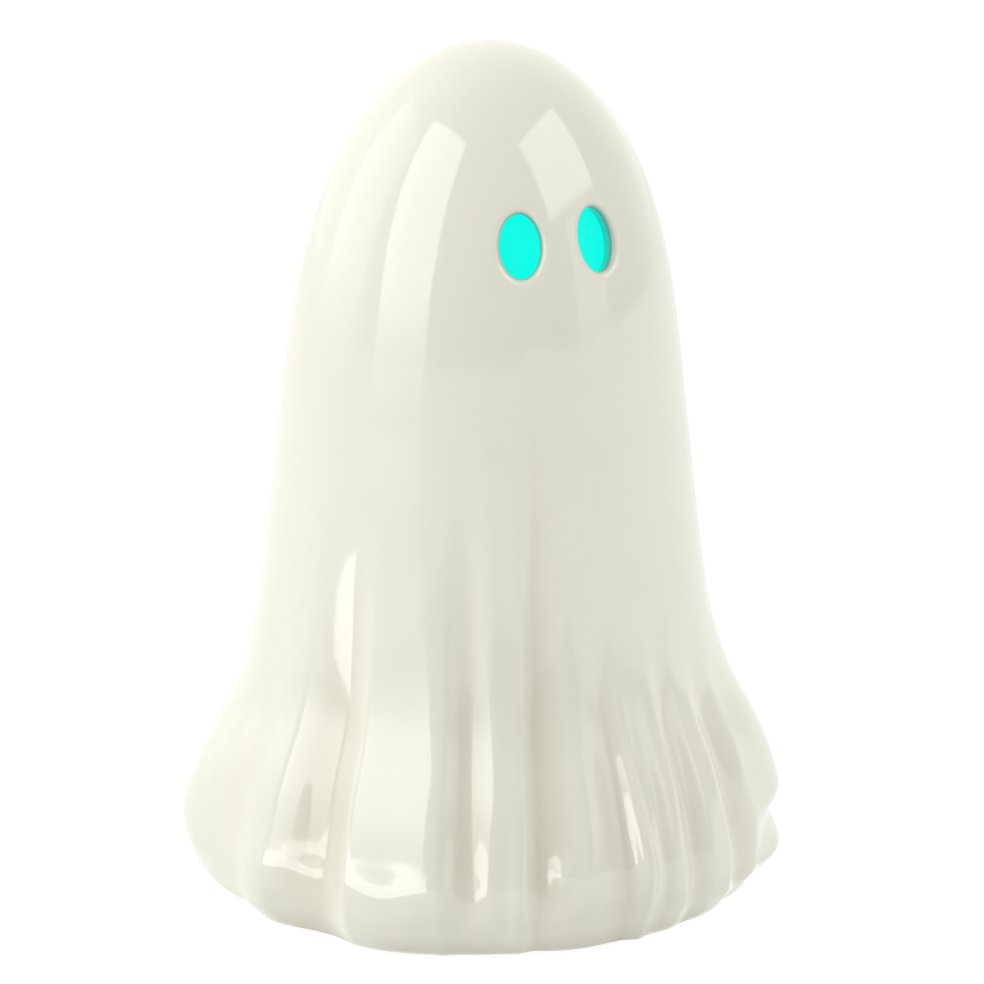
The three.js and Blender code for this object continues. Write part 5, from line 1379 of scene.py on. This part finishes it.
class GHOST_OT_leads(bpy.types.Operator):
    """Builds the three insulated leads, with bare soldered ends."""
    bl_idname = "ghost.leads"
    bl_label = "Leads"

    def execute(self, context):
        unit, at = context.scene.ghost_unit, unit_levels()
        x, tab, pin = unit.switch_x, at.post_top + at.gap, at.pin_top + at.gap
        side, end, part = unit.board_width / 2, unit.board_depth / 2, at.board_part
        y = at.contact_y + CONTACT_SHEET / 2
        corner = spots([49.5], 27)[0]
        routes = {
            "battery_positive": [(11, y, tab), (12, y - 0.8, tab + 1.8), (*corner, tab + 1.4),
                                 (x - 2, 12, pin + 4.8), (x, 3.5, pin + 2.6), (x, 2.5, pin)],
            "switch": [(x, -2.5, pin), (x - 0.4, -4, pin + 2.2),
                       (side + 5.5, 0.4 - end / 2, part - 2), (side + 2.6, -end / 2, part + 1.4),
                       (side - 0.2, -end / 2, part + 1.8), (side - 1.4, -end / 2, part)],
            "battery_negative": [(-11, -y, tab), (-11.8, 1 - y, tab + 1.8),
                                 (4 - side, -end - 7, tab + 1.6),
                                 (3.2 - side, -end - 1.5, part + 1.8),
                                 (3 - side, 1.6 - end, part + 1.5), (3 - side, 2.6 - end, part)],
        }
        for name, points in routes.items():
            self.lead(unit, at, name, np.array(points))
        return {"FINISHED"}

    def lead(self, unit, at, name, points):
        """A round outline carried along the route, thinner where the insulation is stripped."""
        path = smooth_path(points)
        ends = [path[0] - (0, 0, at.gap + 0.1), path[-1] - (0, 0, at.gap + 0.1)]
        path = np.concatenate([ends[:1], path, ends[1:]])
        run = np.concatenate([[0], np.cumsum(np.linalg.norm(np.diff(path, axis=0), axis=-1))])
        rest = np.minimum(run, run[-1] - run)
        full = np.clip((rest - 0.9) / 0.12, 0, 1)
        fillet = np.clip(1 - rest / 0.7, 0, 1) ** 2
        sizes = 0.42 + 0.58 * full + 0.45 * fillet
        chord = points[-1] - points[0]
        weave = Weave()
        swept(weave, path, circle(unit.wire_diameter / 2, 20), (-chord[1], chord[0], 0), sizes)
        piece = weave.piece(f"lead_{name}_wire", 40)
        marked(piece, "metal", np.repeat(full < 0.5, 20))
        word = "black" if name == "battery_negative" else "red"
        finished(piece, wire_material(word), f"{word}_wire", "light_unit", f"lead_{name}")


# Materials


TINNED = (0.7, 0.71, 0.7)


def rgba(colour):
    """Three numbers with a full alpha, or a socket as it is."""
    return colour if isinstance(colour, bpy.types.NodeSocket) else (*colour, 1)


class Graph:
    """A node tree, and short ways to add nodes to it."""

    def __init__(self, tree):
        self.tree = tree

    def feed(self, node, values):
        """Sets a node's inputs, and links those for which another node's socket is given."""
        for key, value in values.items():
            if isinstance(value, bpy.types.NodeSocket):
                self.tree.links.new(value, node.inputs[key])
            else:
                node.inputs[key].default_value = value

    def node(self, kind, values=None, **settings):
        made = self.tree.nodes.new("ShaderNode" + kind)
        for key, value in settings.items():
            setattr(made, key, value)
        self.feed(made, values or {})
        return made

    def group(self, tree, **values):
        made = self.node("Group", node_tree=tree)
        self.feed(made, {key.capitalize(): value for key, value in values.items()})
        return made.outputs

    def places(self):
        return self.node("TexCoord").outputs["Object"]

    def attribute(self, name):
        return self.node("Attribute", attribute_name=name).outputs["Fac"]

    def part(self, vector, name):
        """The X, Y or Z of a vector."""
        return self.node("SeparateXYZ", {0: vector}).outputs[name]

    def math(self, operation, first, second):
        return self.node("Math", {0: first, 1: second}, operation=operation).outputs[0]

    def ranged(self, value, start, end, high=1.0, low=0.0, kind="LINEAR"):
        """Goes from low to high as a value goes from start to end."""
        return self.node("MapRange", {"Value": value, "From Min": start, "From Max": end, "To Min": low,
                                      "To Max": high}, interpolation_type=kind).outputs["Result"]

    def mixed(self, share, first, second):
        """From the first colour to the second as the share goes from 0 to 1."""
        values = {"Factor": share, 6: rgba(first), 7: rgba(second)}
        return self.node("Mix", values, data_type="RGBA").outputs[2]

    def between(self, share, first, second):
        """From the first number to the second as the share goes from 0 to 1."""
        return self.node("Mix", {"Factor": share, 2: first, 3: second}, data_type="FLOAT").outputs[0]


FLOAT, COLOUR, VECTOR = "NodeSocketFloat", "NodeSocketColor", "NodeSocketVector"


def group_of(name, inputs, outputs, build):
    """A shader node group, made once: inputs are (name, type, default), and outputs (name, type).

    build takes the group's graph and what comes in, and gives back what goes out.
    """
    if name in bpy.data.node_groups:
        return bpy.data.node_groups[name]
    tree = bpy.data.node_groups.new(name, "ShaderNodeTree")
    for label, kind, default in inputs:
        socket = tree.interface.new_socket(label, in_out="INPUT", socket_type=kind)
        socket.default_value = default
    for label, kind in outputs:
        tree.interface.new_socket(label, in_out="OUTPUT", socket_type=kind)
    entry, leave = tree.nodes.new("NodeGroupInput"), tree.nodes.new("NodeGroupOutput")
    graph = Graph(tree)
    made = build(graph, *[entry.outputs[label] for label, kind, default in inputs])
    graph.feed(leave, {label: socket for (label, kind), socket in zip(outputs, made)})
    return tree


def uneven_surface():
    """Group: noise in Object coordinates as a bump, and the same noise as a mask from 0 to 1."""
    def build(graph, scale, height, strength):
        noise = graph.node("TexNoise", {"Vector": graph.places(), "Scale": scale, "Detail": 3})
        mask = noise.outputs["Fac"]
        bump = graph.node("Bump", {"Height": mask, "Distance": height, "Strength": strength})
        return bump.outputs["Normal"], mask

    return group_of("Uneven surface",
                    [("Scale", FLOAT, 400.0), ("Height", FLOAT, 0.0001), ("Strength", FLOAT, 0.3)],
                    [("Normal", VECTOR), ("Mask", FLOAT)], build)


def mottled_colour():
    """Group: two colours mixed by soft noise in Object coordinates, held round a middle share."""
    def build(graph, first, second, scale):
        noise = graph.node("TexNoise", {"Vector": graph.places(), "Scale": scale, "Detail": 4})
        return [graph.mixed(graph.ranged(noise.outputs["Fac"], 0.3, 0.7), first, second)]

    return group_of("Mottled colour", [("First", COLOUR, (0.8, 0.8, 0.8, 1)),
                                       ("Second", COLOUR, (0.7, 0.7, 0.7, 1)), ("Scale", FLOAT, 40.0)],
                    [("Colour", COLOUR)], build)


def scuff_mask():
    """Group: where long noise, stretched along a slanting line, crosses a threshold, as fine rubs do."""
    def build(graph, scale, amount):
        stretch = graph.node("Mapping", {"Vector": graph.places(), "Rotation": (0.5, 0.3, 0.7),
                                         "Scale": (1.0, 0.09, 0.5)})
        noise = graph.node("TexNoise", {"Vector": stretch.outputs["Vector"], "Scale": scale,
                                        "Detail": 5})
        return [graph.ranged(noise.outputs["Fac"], 0.6, 0.72, amount)]

    return group_of("Scuffs", [("Scale", FLOAT, 300.0), ("Amount", FLOAT, 0.2)], [("Mask", FLOAT)],
                    build)


class Surface(Graph):
    """A new material, and the graph round its Principled BSDF."""

    def __init__(self, name):
        self.material = bpy.data.materials.new(name)
        self.material.use_nodes = True
        super().__init__(self.material.node_tree)
        self.shader = self.tree.nodes["Principled BSDF"]

    def shade(self, values):
        self.feed(self.shader, values)

    def glowing(self, colour, strength=1.0):
        self.shade({"Emission Color": colour, "Emission Strength": strength})


class Finish(Surface):
    """Two mottled colours with a bumpy grain, over which other colours can be laid.

    Roughness goes from low to high with the grain.
    """

    def __init__(self, name, first, second, scale, grain, height, strength, low, high):
        super().__init__(name)
        self.colour = self.group(mottled_colour(), first=rgba(first), second=rgba(second),
                                 scale=scale)["Colour"]
        uneven = self.group(uneven_surface(), scale=grain, height=height, strength=strength)
        self.mask = uneven["Mask"]
        self.rough = self.ranged(self.mask, 0.3, 0.7, high, low)
        self.shade({"Base Color": self.colour, "Roughness": self.rough, "Normal": uneven["Normal"]})

    def over(self, mask, colour):
        """Lays a colour, or what a socket gives, over the finish where a mask is high."""
        self.colour = self.mixed(mask, self.colour, colour)
        self.shade({"Base Color": self.colour})

    def scuffed(self, colour, scale, amount):
        self.over(self.group(scuff_mask(), scale=scale, amount=amount)["Mask"], colour)

    def metal_where(self, mask, colour=(0.62, 0.62, 0.6)):
        """Bare metal where a mask is high."""
        self.over(mask, colour)
        self.shade({"Metallic": mask})

    def banded(self, value, start, end, stops):
        """Colours in bands along a value, each from its stop on."""
        bands = self.node("ValToRGB", {"Fac": self.ranged(value, start, end)})
        bands.color_ramp.interpolation = "CONSTANT"
        marks = bands.color_ramp.elements
        while len(marks) < len(stops):
            marks.new(1.0)
        for mark, (position, colour) in zip(marks, stops):
            mark.position = position
            mark.color = rgba(colour)
        return bands.outputs["Color"]


def tinted(colour, factor):
    return [min(1.0, c * factor) for c in colour]


def once(name, make):
    """A material that is made on the first call and found again after it."""
    return bpy.data.materials.get(name) or make()


def glaze_material():
    """Ivory glaze, thicker in the folds, thin at the hem's edge, over clay left bare underneath.

    It has a few specks. Where the folds are deep it is darker and browner: pooled glaze and painted
    shade in the folds. Towards the table it is darker brown: thin glaze and painted shade under the
    hem. The eye holes' walls are a darker teal, painted shade, and have a painted glow of the eyes'
    light.
    """
    colours = settings("finishes")
    finish = Finish("Ivory glaze", colours.glaze, tinted(colours.glaze, 0.985), 28.0, 190.0, 0.00006,
                    0.35, 0.05, 0.09)
    # Darker, browner where the folds are deep: pooled glaze and painted shade in the folds.
    finish.over(finish.ranged(finish.attribute("fold_depth"), 0.1, 1.0), colours.pooled_glaze_and_shade)
    places, foot = finish.places(), finish.attribute("bare_foot")
    specks = finish.node("TexVoronoi", {"Vector": places, "Scale": 260.0, "Randomness": 1.0})
    dots = finish.ranged(specks.outputs["Distance"], 0.06, 0.02)
    finish.over(finish.math("MULTIPLY", dots, 0.28), (0.52, 0.44, 0.33))
    # Darker brown towards the table: glaze run thin, and painted shade under the hem.
    finish.over(finish.ranged(finish.part(places, "Z"), 0.0065, 0.001, 0.3, kind="SMOOTHSTEP"),
                colours.thin_glaze_and_shade)
    finish.over(foot, colours.bare_clay)
    # Painted shade on the eye holes' walls, a dark teal, and a painted glow of the eyes' light.
    finish.over(finish.attribute("eye_wall_shade"), (0.1, 0.17, 0.16))
    finish.glowing(finish.mixed(finish.attribute("eye_lit"), (0, 0, 0), tinted(colours.eye_light, 0.4)))
    finish.shade({"Roughness": finish.between(foot, finish.rough, 0.8), "IOR": 1.62})
    return finish.material


def eye_material():
    """Frosted plastic lit from behind: the light's colour, mottled with a trace of a dimmer one."""
    light = settings("finishes").eye_light
    dimmer = (light[0] + 0.01, light[1] * 0.97, light[2] * 0.97)
    eye = Surface("Lit frosted plastic")
    eye.glowing(eye.group(mottled_colour(), first=rgba(light), second=rgba(dimmer),
                          scale=160.0)["Colour"])
    uneven = eye.group(uneven_surface(), scale=900.0, height=0.00003, strength=0.3)
    eye.shade({"Base Color": (0.0, 0.01, 0.009, 1), "Specular IOR Level": 0.1, "Roughness": 0.35,
               "Normal": uneven["Normal"]})
    return eye.material


def foam_material():
    """Closed-cell foam: pale, matt, with painted shade of pits in the cells of a Voronoi pattern."""
    finish = Finish("Pad foam", (0.74, 0.72, 0.66), (0.64, 0.62, 0.56), 420.0, 4200.0, 0.00012, 0.8,
                    0.86, 0.98)
    cells = finish.node("TexVoronoi", {"Vector": finish.places(), "Scale": 2600.0})
    # Painted shade of pits: darker towards the middle of each cell.
    finish.over(finish.ranged(cells.outputs["Distance"], 0.5, 0.1, 0.35), (0.42, 0.4, 0.36))
    return finish.material


def moulded_material():
    """White plastic with a spark-eroded grain, faint flow marks and fine rubs."""
    name, colour = "White moulded plastic", settings("finishes").housing

    def make():
        finish = Finish(name, colour, tinted(colour, 0.95), 45.0, 3400.0, 0.00003, 0.5, 0.36, 0.54)
        finish.scuffed(tinted(colour, 0.72), 260.0, 0.3)
        return finish.material

    return once(name, make)


def silicone_material():
    """Grey-white rubber, paler where dust has rubbed into it."""
    colour = settings("finishes").silicone
    finish = Finish("Gasket silicone", colour, tinted(colour, 0.9), 80.0, 1500.0, 0.00002, 0.4, 0.42,
                    0.62)
    finish.scuffed((0.86, 0.87, 0.85), 500.0, 0.5)
    return finish.material


def frosted_material():
    """Frosted plastic lit from below: brightest round the lamps, dimmer to the crown and the flange."""
    light = settings("finishes").eye_light
    finish = Finish("Frosted dome plastic", (0.66, 0.8, 0.79), (0.6, 0.76, 0.75), 120.0, 2400.0,
                    0.00004, 0.5, 0.38, 0.52)
    height = finish.part(finish.places(), "Z")
    glow = finish.mixed(finish.ranged(height, 0.0262, 0.031), tinted(light, 0.16), tinted(light, 0.85))
    finish.glowing(finish.mixed(finish.ranged(height, 0.033, 0.0405), glow, tinted(light, 0.5)))
    return finish.material


def steel_material(name, roughness):
    """Plated sheet or wire: grey metal with fine streaks along its drawing direction."""
    def make():
        finish = Finish(name, (0.64, 0.65, 0.66), (0.54, 0.55, 0.57), 260.0, 2600.0, 0.00001, 0.3,
                        roughness - 0.07, roughness + 0.1)
        finish.scuffed((0.36, 0.36, 0.37), 900.0, 0.4)
        finish.shade({"Metallic": 1.0})
        return finish.material

    return once(name, make)


def black_material():
    """Black plastic, greyed by rubs."""
    finish = Finish("Black knob plastic", (0.022, 0.022, 0.024), (0.032, 0.032, 0.034), 200.0, 3600.0,
                    0.00003, 0.5, 0.36, 0.52)
    finish.scuffed((0.11, 0.11, 0.11), 600.0, 0.5)
    return finish.material


def chip_material():
    """Black epoxy with a grain, and tinned legs."""
    finish = Finish("Chip epoxy", (0.02, 0.02, 0.021), (0.03, 0.03, 0.031), 400.0, 5200.0, 0.00003, 0.5,
                    0.45, 0.6)
    finish.metal_where(finish.attribute("metal"))
    return finish.material


def board_material():
    """Green solder mask over paler copper tracks, tan glass cloth at the edge, bright solder."""
    mask, at = settings("finishes").board, unit_levels()
    finish = Finish("Green board", mask, tinted(mask, 0.8), 300.0, 5200.0, 0.00001, 0.3, 0.24, 0.36)
    tracks = finish.node("TexBrick", {"Vector": finish.places(), "Scale": 150.0, "Mortar Size": 0.045,
                                      "Brick Width": 0.9, "Row Height": 0.28, "Color1": (0, 0, 0, 1),
                                      "Color2": (0, 0, 0, 1), "Mortar": (1, 1, 1, 1)})
    finish.over(finish.math("MULTIPLY", tracks.outputs["Color"], 0.75), tinted(mask, 2.2))
    height = finish.part(finish.places(), "Z")
    above = finish.ranged(height, (at.board + 0.07) * MM, (at.board + 0.1) * MM)
    below = finish.ranged(height, (at.board_top - 0.07) * MM, (at.board_top - 0.1) * MM)
    finish.over(finish.math("MULTIPLY", above, below), (0.42, 0.37, 0.2))
    finish.metal_where(finish.attribute("solder"), TINNED)
    return finish.material


def lamp_material(word):
    """Tinted clear resin; the green and blue lamps are lit, the red one isn't."""
    tint = {"red": (0.72, 0.03, 0.02), "green": (0.04, 0.62, 0.1), "blue": (0.03, 0.12, 0.72)}[word]
    finish = Finish(f"Lamp resin {word}", tint, tinted(tint, 0.75), 500.0, 2400.0, 0.00001, 0.3, 0.06,
                    0.14)
    if word != "red":
        finish.glowing(finish.mixed(finish.mask, tinted(tint, 0.5), tinted(tint, 1.2)), 0.8)
    finish.shade({"Transmission Weight": 0.35})
    return finish.material


def resistor_material():
    """Tan ceramic paint with four colour bands, and tinned wire ends."""
    name, tan = "Resistor paint", (0.66, 0.52, 0.33)

    def make():
        finish = Finish(name, tan, tinted(tan, 0.88), 600.0, 3000.0, 0.00003, 0.4, 0.32, 0.45)
        along = finish.attribute("along")
        bands = finish.banded(along, -3, 3, [
            (0, tan), (0.13, (0.2, 0.08, 0.03)), (0.21, tan), (0.36, (0.02, 0.02, 0.02)), (0.42, tan),
            (0.5, (0.55, 0.04, 0.02)), (0.56, tan), (0.78, (0.6, 0.42, 0.12)), (0.86, tan)])
        finish.over(finish.math("MULTIPLY", finish.ranged(along, 4, 3.9), 0.92), bands)
        finish.metal_where(finish.attribute("metal"))
        return finish.material

    return once(name, make)


def cell_material():
    """Shrunk film in two plain colours, glossy and faintly rubbed, and bare steel ends."""
    film, pale = settings("finishes").cell, (0.46, 0.47, 0.48)
    finish = Finish("Cell jacket film", film, tinted(film, 1.4), 200.0, 900.0, 0.00002, 0.3, 0.2, 0.34)
    along = finish.attribute("along")
    finish.over(finish.ranged(along, 35.5, 35.7, 0.95), pale)
    stripe = finish.math("MULTIPLY", finish.ranged(along, 34.3, 34.4, 0.95),
                         finish.ranged(along, 35.0, 34.9))
    finish.over(stripe, pale)
    finish.scuffed((0.2, 0.21, 0.22), 420.0, 0.35)
    finish.metal_where(finish.attribute("metal"), (0.66, 0.66, 0.65))
    return finish.material


def wire_material(word):
    """Insulation with a slight grain, and tinned ends."""
    name = f"{word.capitalize()} insulation"
    colour = {"red": (0.42, 0.014, 0.01), "black": (0.018, 0.018, 0.02)}[word]

    def make():
        finish = Finish(name, colour, tinted(colour, 1.3), 500.0, 2600.0, 0.00002, 0.4, 0.32, 0.46)
        finish.metal_where(finish.attribute("metal"), TINNED)
        return finish.material

    return once(name, make)


# The stage


def direction(azimuth, elevation):
    """From the ghost towards a side and a height, both in degrees: a unit vector."""
    a, e = math.radians(azimuth), math.radians(elevation)
    return Vector((math.sin(a) * math.cos(e), -math.cos(a) * math.cos(e), math.sin(e)))


class GHOST_OT_stage(bpy.types.Operator):
    """Makes the camera, the soft lamps, those that the glaze shows, the surroundings and the floor."""
    bl_idname = "ghost.stage"
    bl_label = "Stage"

    def execute(self, context):
        stage = context.scene.ghost_stage
        context.scene.view_settings.view_transform = "Standard"
        axis = Vector((AXIS_MM[0] * MM, AXIS_MM[1] * MM, 0))
        self.camera(context, stage, axis)
        bright = stage.brightness
        for name, azimuth, elevation, size, radiance in SOFT_LIGHTS:
            lamp = self.lamp(name, axis, azimuth, elevation, SOFT_DISTANCE, size, radiance * bright)
            lamp.visible_glossy = False
        for name, azimuth, elevation, size, radiance, softness in REFLECTED_LIGHTS:
            lamp = self.lamp(name, axis, azimuth, elevation, SHINE_DISTANCE, size, radiance * bright)
            lamp.visible_diffuse = False
            self.soften(lamp.data, softness)
        name, azimuth, distance, height, size, radiance = LOW_SHINE
        lamp = self.lamp(name, axis, azimuth, 0, distance, size, radiance * bright, height)
        lamp.visible_diffuse = False
        self.surroundings(context, stage)
        self.floor()
        return {"FINISHED"}

    def camera(self, context, stage, axis):
        back = direction(stage.azimuth, stage.elevation)
        right = direction(stage.azimuth + 90, 0)
        camera = bpy.data.objects.new("camera", bpy.data.cameras.new("camera"))
        context.scene.collection.objects.link(camera)
        camera.data.lens = stage.lens
        camera.data.sensor_width = 36
        camera.data.clip_start, camera.data.clip_end = 0.05, 50
        aim = axis + Vector((0, 0, stage.aim))
        camera.location = aim + back * stage.distance + right * stage.aside
        camera.rotation_euler = (-back).to_track_quat("-Z", "Y").to_euler()
        context.scene.camera = camera

    def lamp(self, name, axis, azimuth, elevation, distance, size, radiance, height=HEAD_HEIGHT):
        """A rectangle of light that looks at the ghost; its power is radiance times area times pi."""
        back = direction(azimuth, elevation)
        light = bpy.data.lights.new(name, "AREA")
        light.shape = "RECTANGLE"
        light.size, light.size_y = size
        light.energy = radiance * math.pi * size[0] * size[1]
        lamp = bpy.data.objects.new(name, light)
        lamp.location = axis + Vector((0, 0, height)) + back * distance
        lamp.visible_camera = False
        lamp.rotation_euler = (-back).to_track_quat("-Z", "Y").to_euler()
        bpy.context.scene.collection.objects.link(lamp)
        return lamp

    def soften(self, light, softness):
        """Lets a lamp fade towards its lower edge, by a smooth step."""
        light.use_nodes = True
        graph = Graph(light.node_tree)
        place = graph.node("NewGeometry").outputs["Parametric"]
        fade = graph.ranged(graph.part(place, "Y"), 0.0, softness, kind="SMOOTHSTEP")
        graph.feed(light.node_tree.nodes["Emission"], {"Strength": fade})

    def surroundings(self, context, stage):
        """White all round as the camera and clear plastic see it, and dimmer as a light."""
        world = bpy.data.worlds.new("pale surroundings")
        world.use_nodes = True
        context.scene.world = world
        graph = Graph(world.node_tree)
        ray = graph.node("LightPath").outputs
        direct = graph.math("MAXIMUM", ray["Is Camera Ray"], ray["Is Transmission Ray"])
        sides = graph.node("SeparateXYZ", {0: graph.node("TexCoord").outputs["Generated"]}).outputs
        matt, glossy = (graph.ranged(sides["Y"], *levels, "SMOOTHSTEP") for levels in (
            (-1, 0.6, stage.fill_behind, stage.fill),
            (-0.35, 0.75, stage.gloss_behind, stage.gloss_fill)))
        level = graph.between(ray["Is Glossy Ray"], matt, glossy)
        below = graph.ranged(sides["Z"], -0.02, -0.3, stage.fill_below)
        level = graph.between(direct, graph.math("MAXIMUM", level, below), 1.0)
        graph.feed(world.node_tree.nodes["Background"], {"Color": (1, 1, 1, 1), "Strength": level})

    def floor(self):
        """A wide flat square: as the camera and the glaze see it, part paint and part white glow.

        It is see-through from below, and for rays from just over it, so that undersides get light.
        """
        weave = Weave()
        half = FLOOR_SIZE / 2
        corners = [(-half, -half, 0), (half, -half, 0), (half, half, 0), (-half, half, 0)]
        weave.keep([weave.add(corners)])
        floor = weave.piece("floor")
        pale = Surface("Pale floor")
        pale.shade({"Base Color": (0.86, 0.86, 0.86, 1), "Roughness": 0.9, "Specular IOR Level": 0.0})
        glow = pale.node("Emission", {"Color": (1, 1, 1, 1), "Strength": 1.28})
        ray = pale.node("LightPath").outputs
        seen = pale.math("MAXIMUM", ray["Is Camera Ray"], ray["Is Glossy Ray"])
        mix = pale.node("MixShader", {"Fac": pale.math("MULTIPLY", seen, 0.62),
                                      1: pale.shader.outputs[0], 2: glow.outputs[0]})
        near = pale.math("LESS_THAN", ray["Ray Length"], 0.022)
        hidden = pale.math("MAXIMUM", near, pale.node("NewGeometry").outputs["Backfacing"])
        clear = pale.node("BsdfTransparent").outputs[0]
        under = pale.node("MixShader", {"Fac": hidden, 1: mix.outputs[0], 2: clear})
        pale.feed(pale.tree.nodes["Material Output"], {"Surface": under.outputs[0]})
        floor.data.materials.append(pale.material)


class GHOST_PT_panel(bpy.types.Panel):
    """Lists the sizes and the pieces."""
    bl_idname = "GHOST_PT_panel"
    bl_label = "Ghost"
    bl_space_type = "VIEW_3D"
    bl_region_type = "UI"
    bl_category = "Ghost"

    def draw(self, context):
        for name in GROUPS:
            box = self.layout.box()
            box.label(text=name.replace("ghost_", "").capitalize())
            group = getattr(context.scene, name)
            for key in group.bl_rna.properties.keys():
                if key not in ("rna_type", "name"):
                    box.prop(group, key)
        for operator in OPERATORS:
            self.layout.operator(operator.bl_idname)


OPERATORS = (GHOST_OT_stage, GHOST_OT_ceramic_body, GHOST_OT_eye_diffusers, GHOST_OT_foot_pads,
             GHOST_OT_housing, GHOST_OT_dome, GHOST_OT_circuit, GHOST_OT_cells, GHOST_OT_switch,
             GHOST_OT_battery_door, GHOST_OT_screws, GHOST_OT_leads)
GROUPS = {"ghost_body": GhostBodySizes, "ghost_eyes": GhostEyeSizes, "ghost_unit": GhostUnitSizes,
          "ghost_finishes": GhostFinishes, "ghost_stage": GhostStageSettings}
CLASSES = (*GROUPS.values(), *OPERATORS, GHOST_PT_panel)


def register():
    for cls in CLASSES:
        bpy.utils.register_class(cls)
    for name, group in GROUPS.items():
        setattr(bpy.types.Scene, name, PointerProperty(type=group))


def unregister():
    for name in GROUPS:
        delattr(bpy.types.Scene, name)
    for cls in reversed(CLASSES):
        bpy.utils.unregister_class(cls)


def main():
    register()
    for operator in OPERATORS:
        family, name = operator.bl_idname.split(".")
        getattr(getattr(bpy.ops, family), name)()


if __name__ == "__main__":
    main()
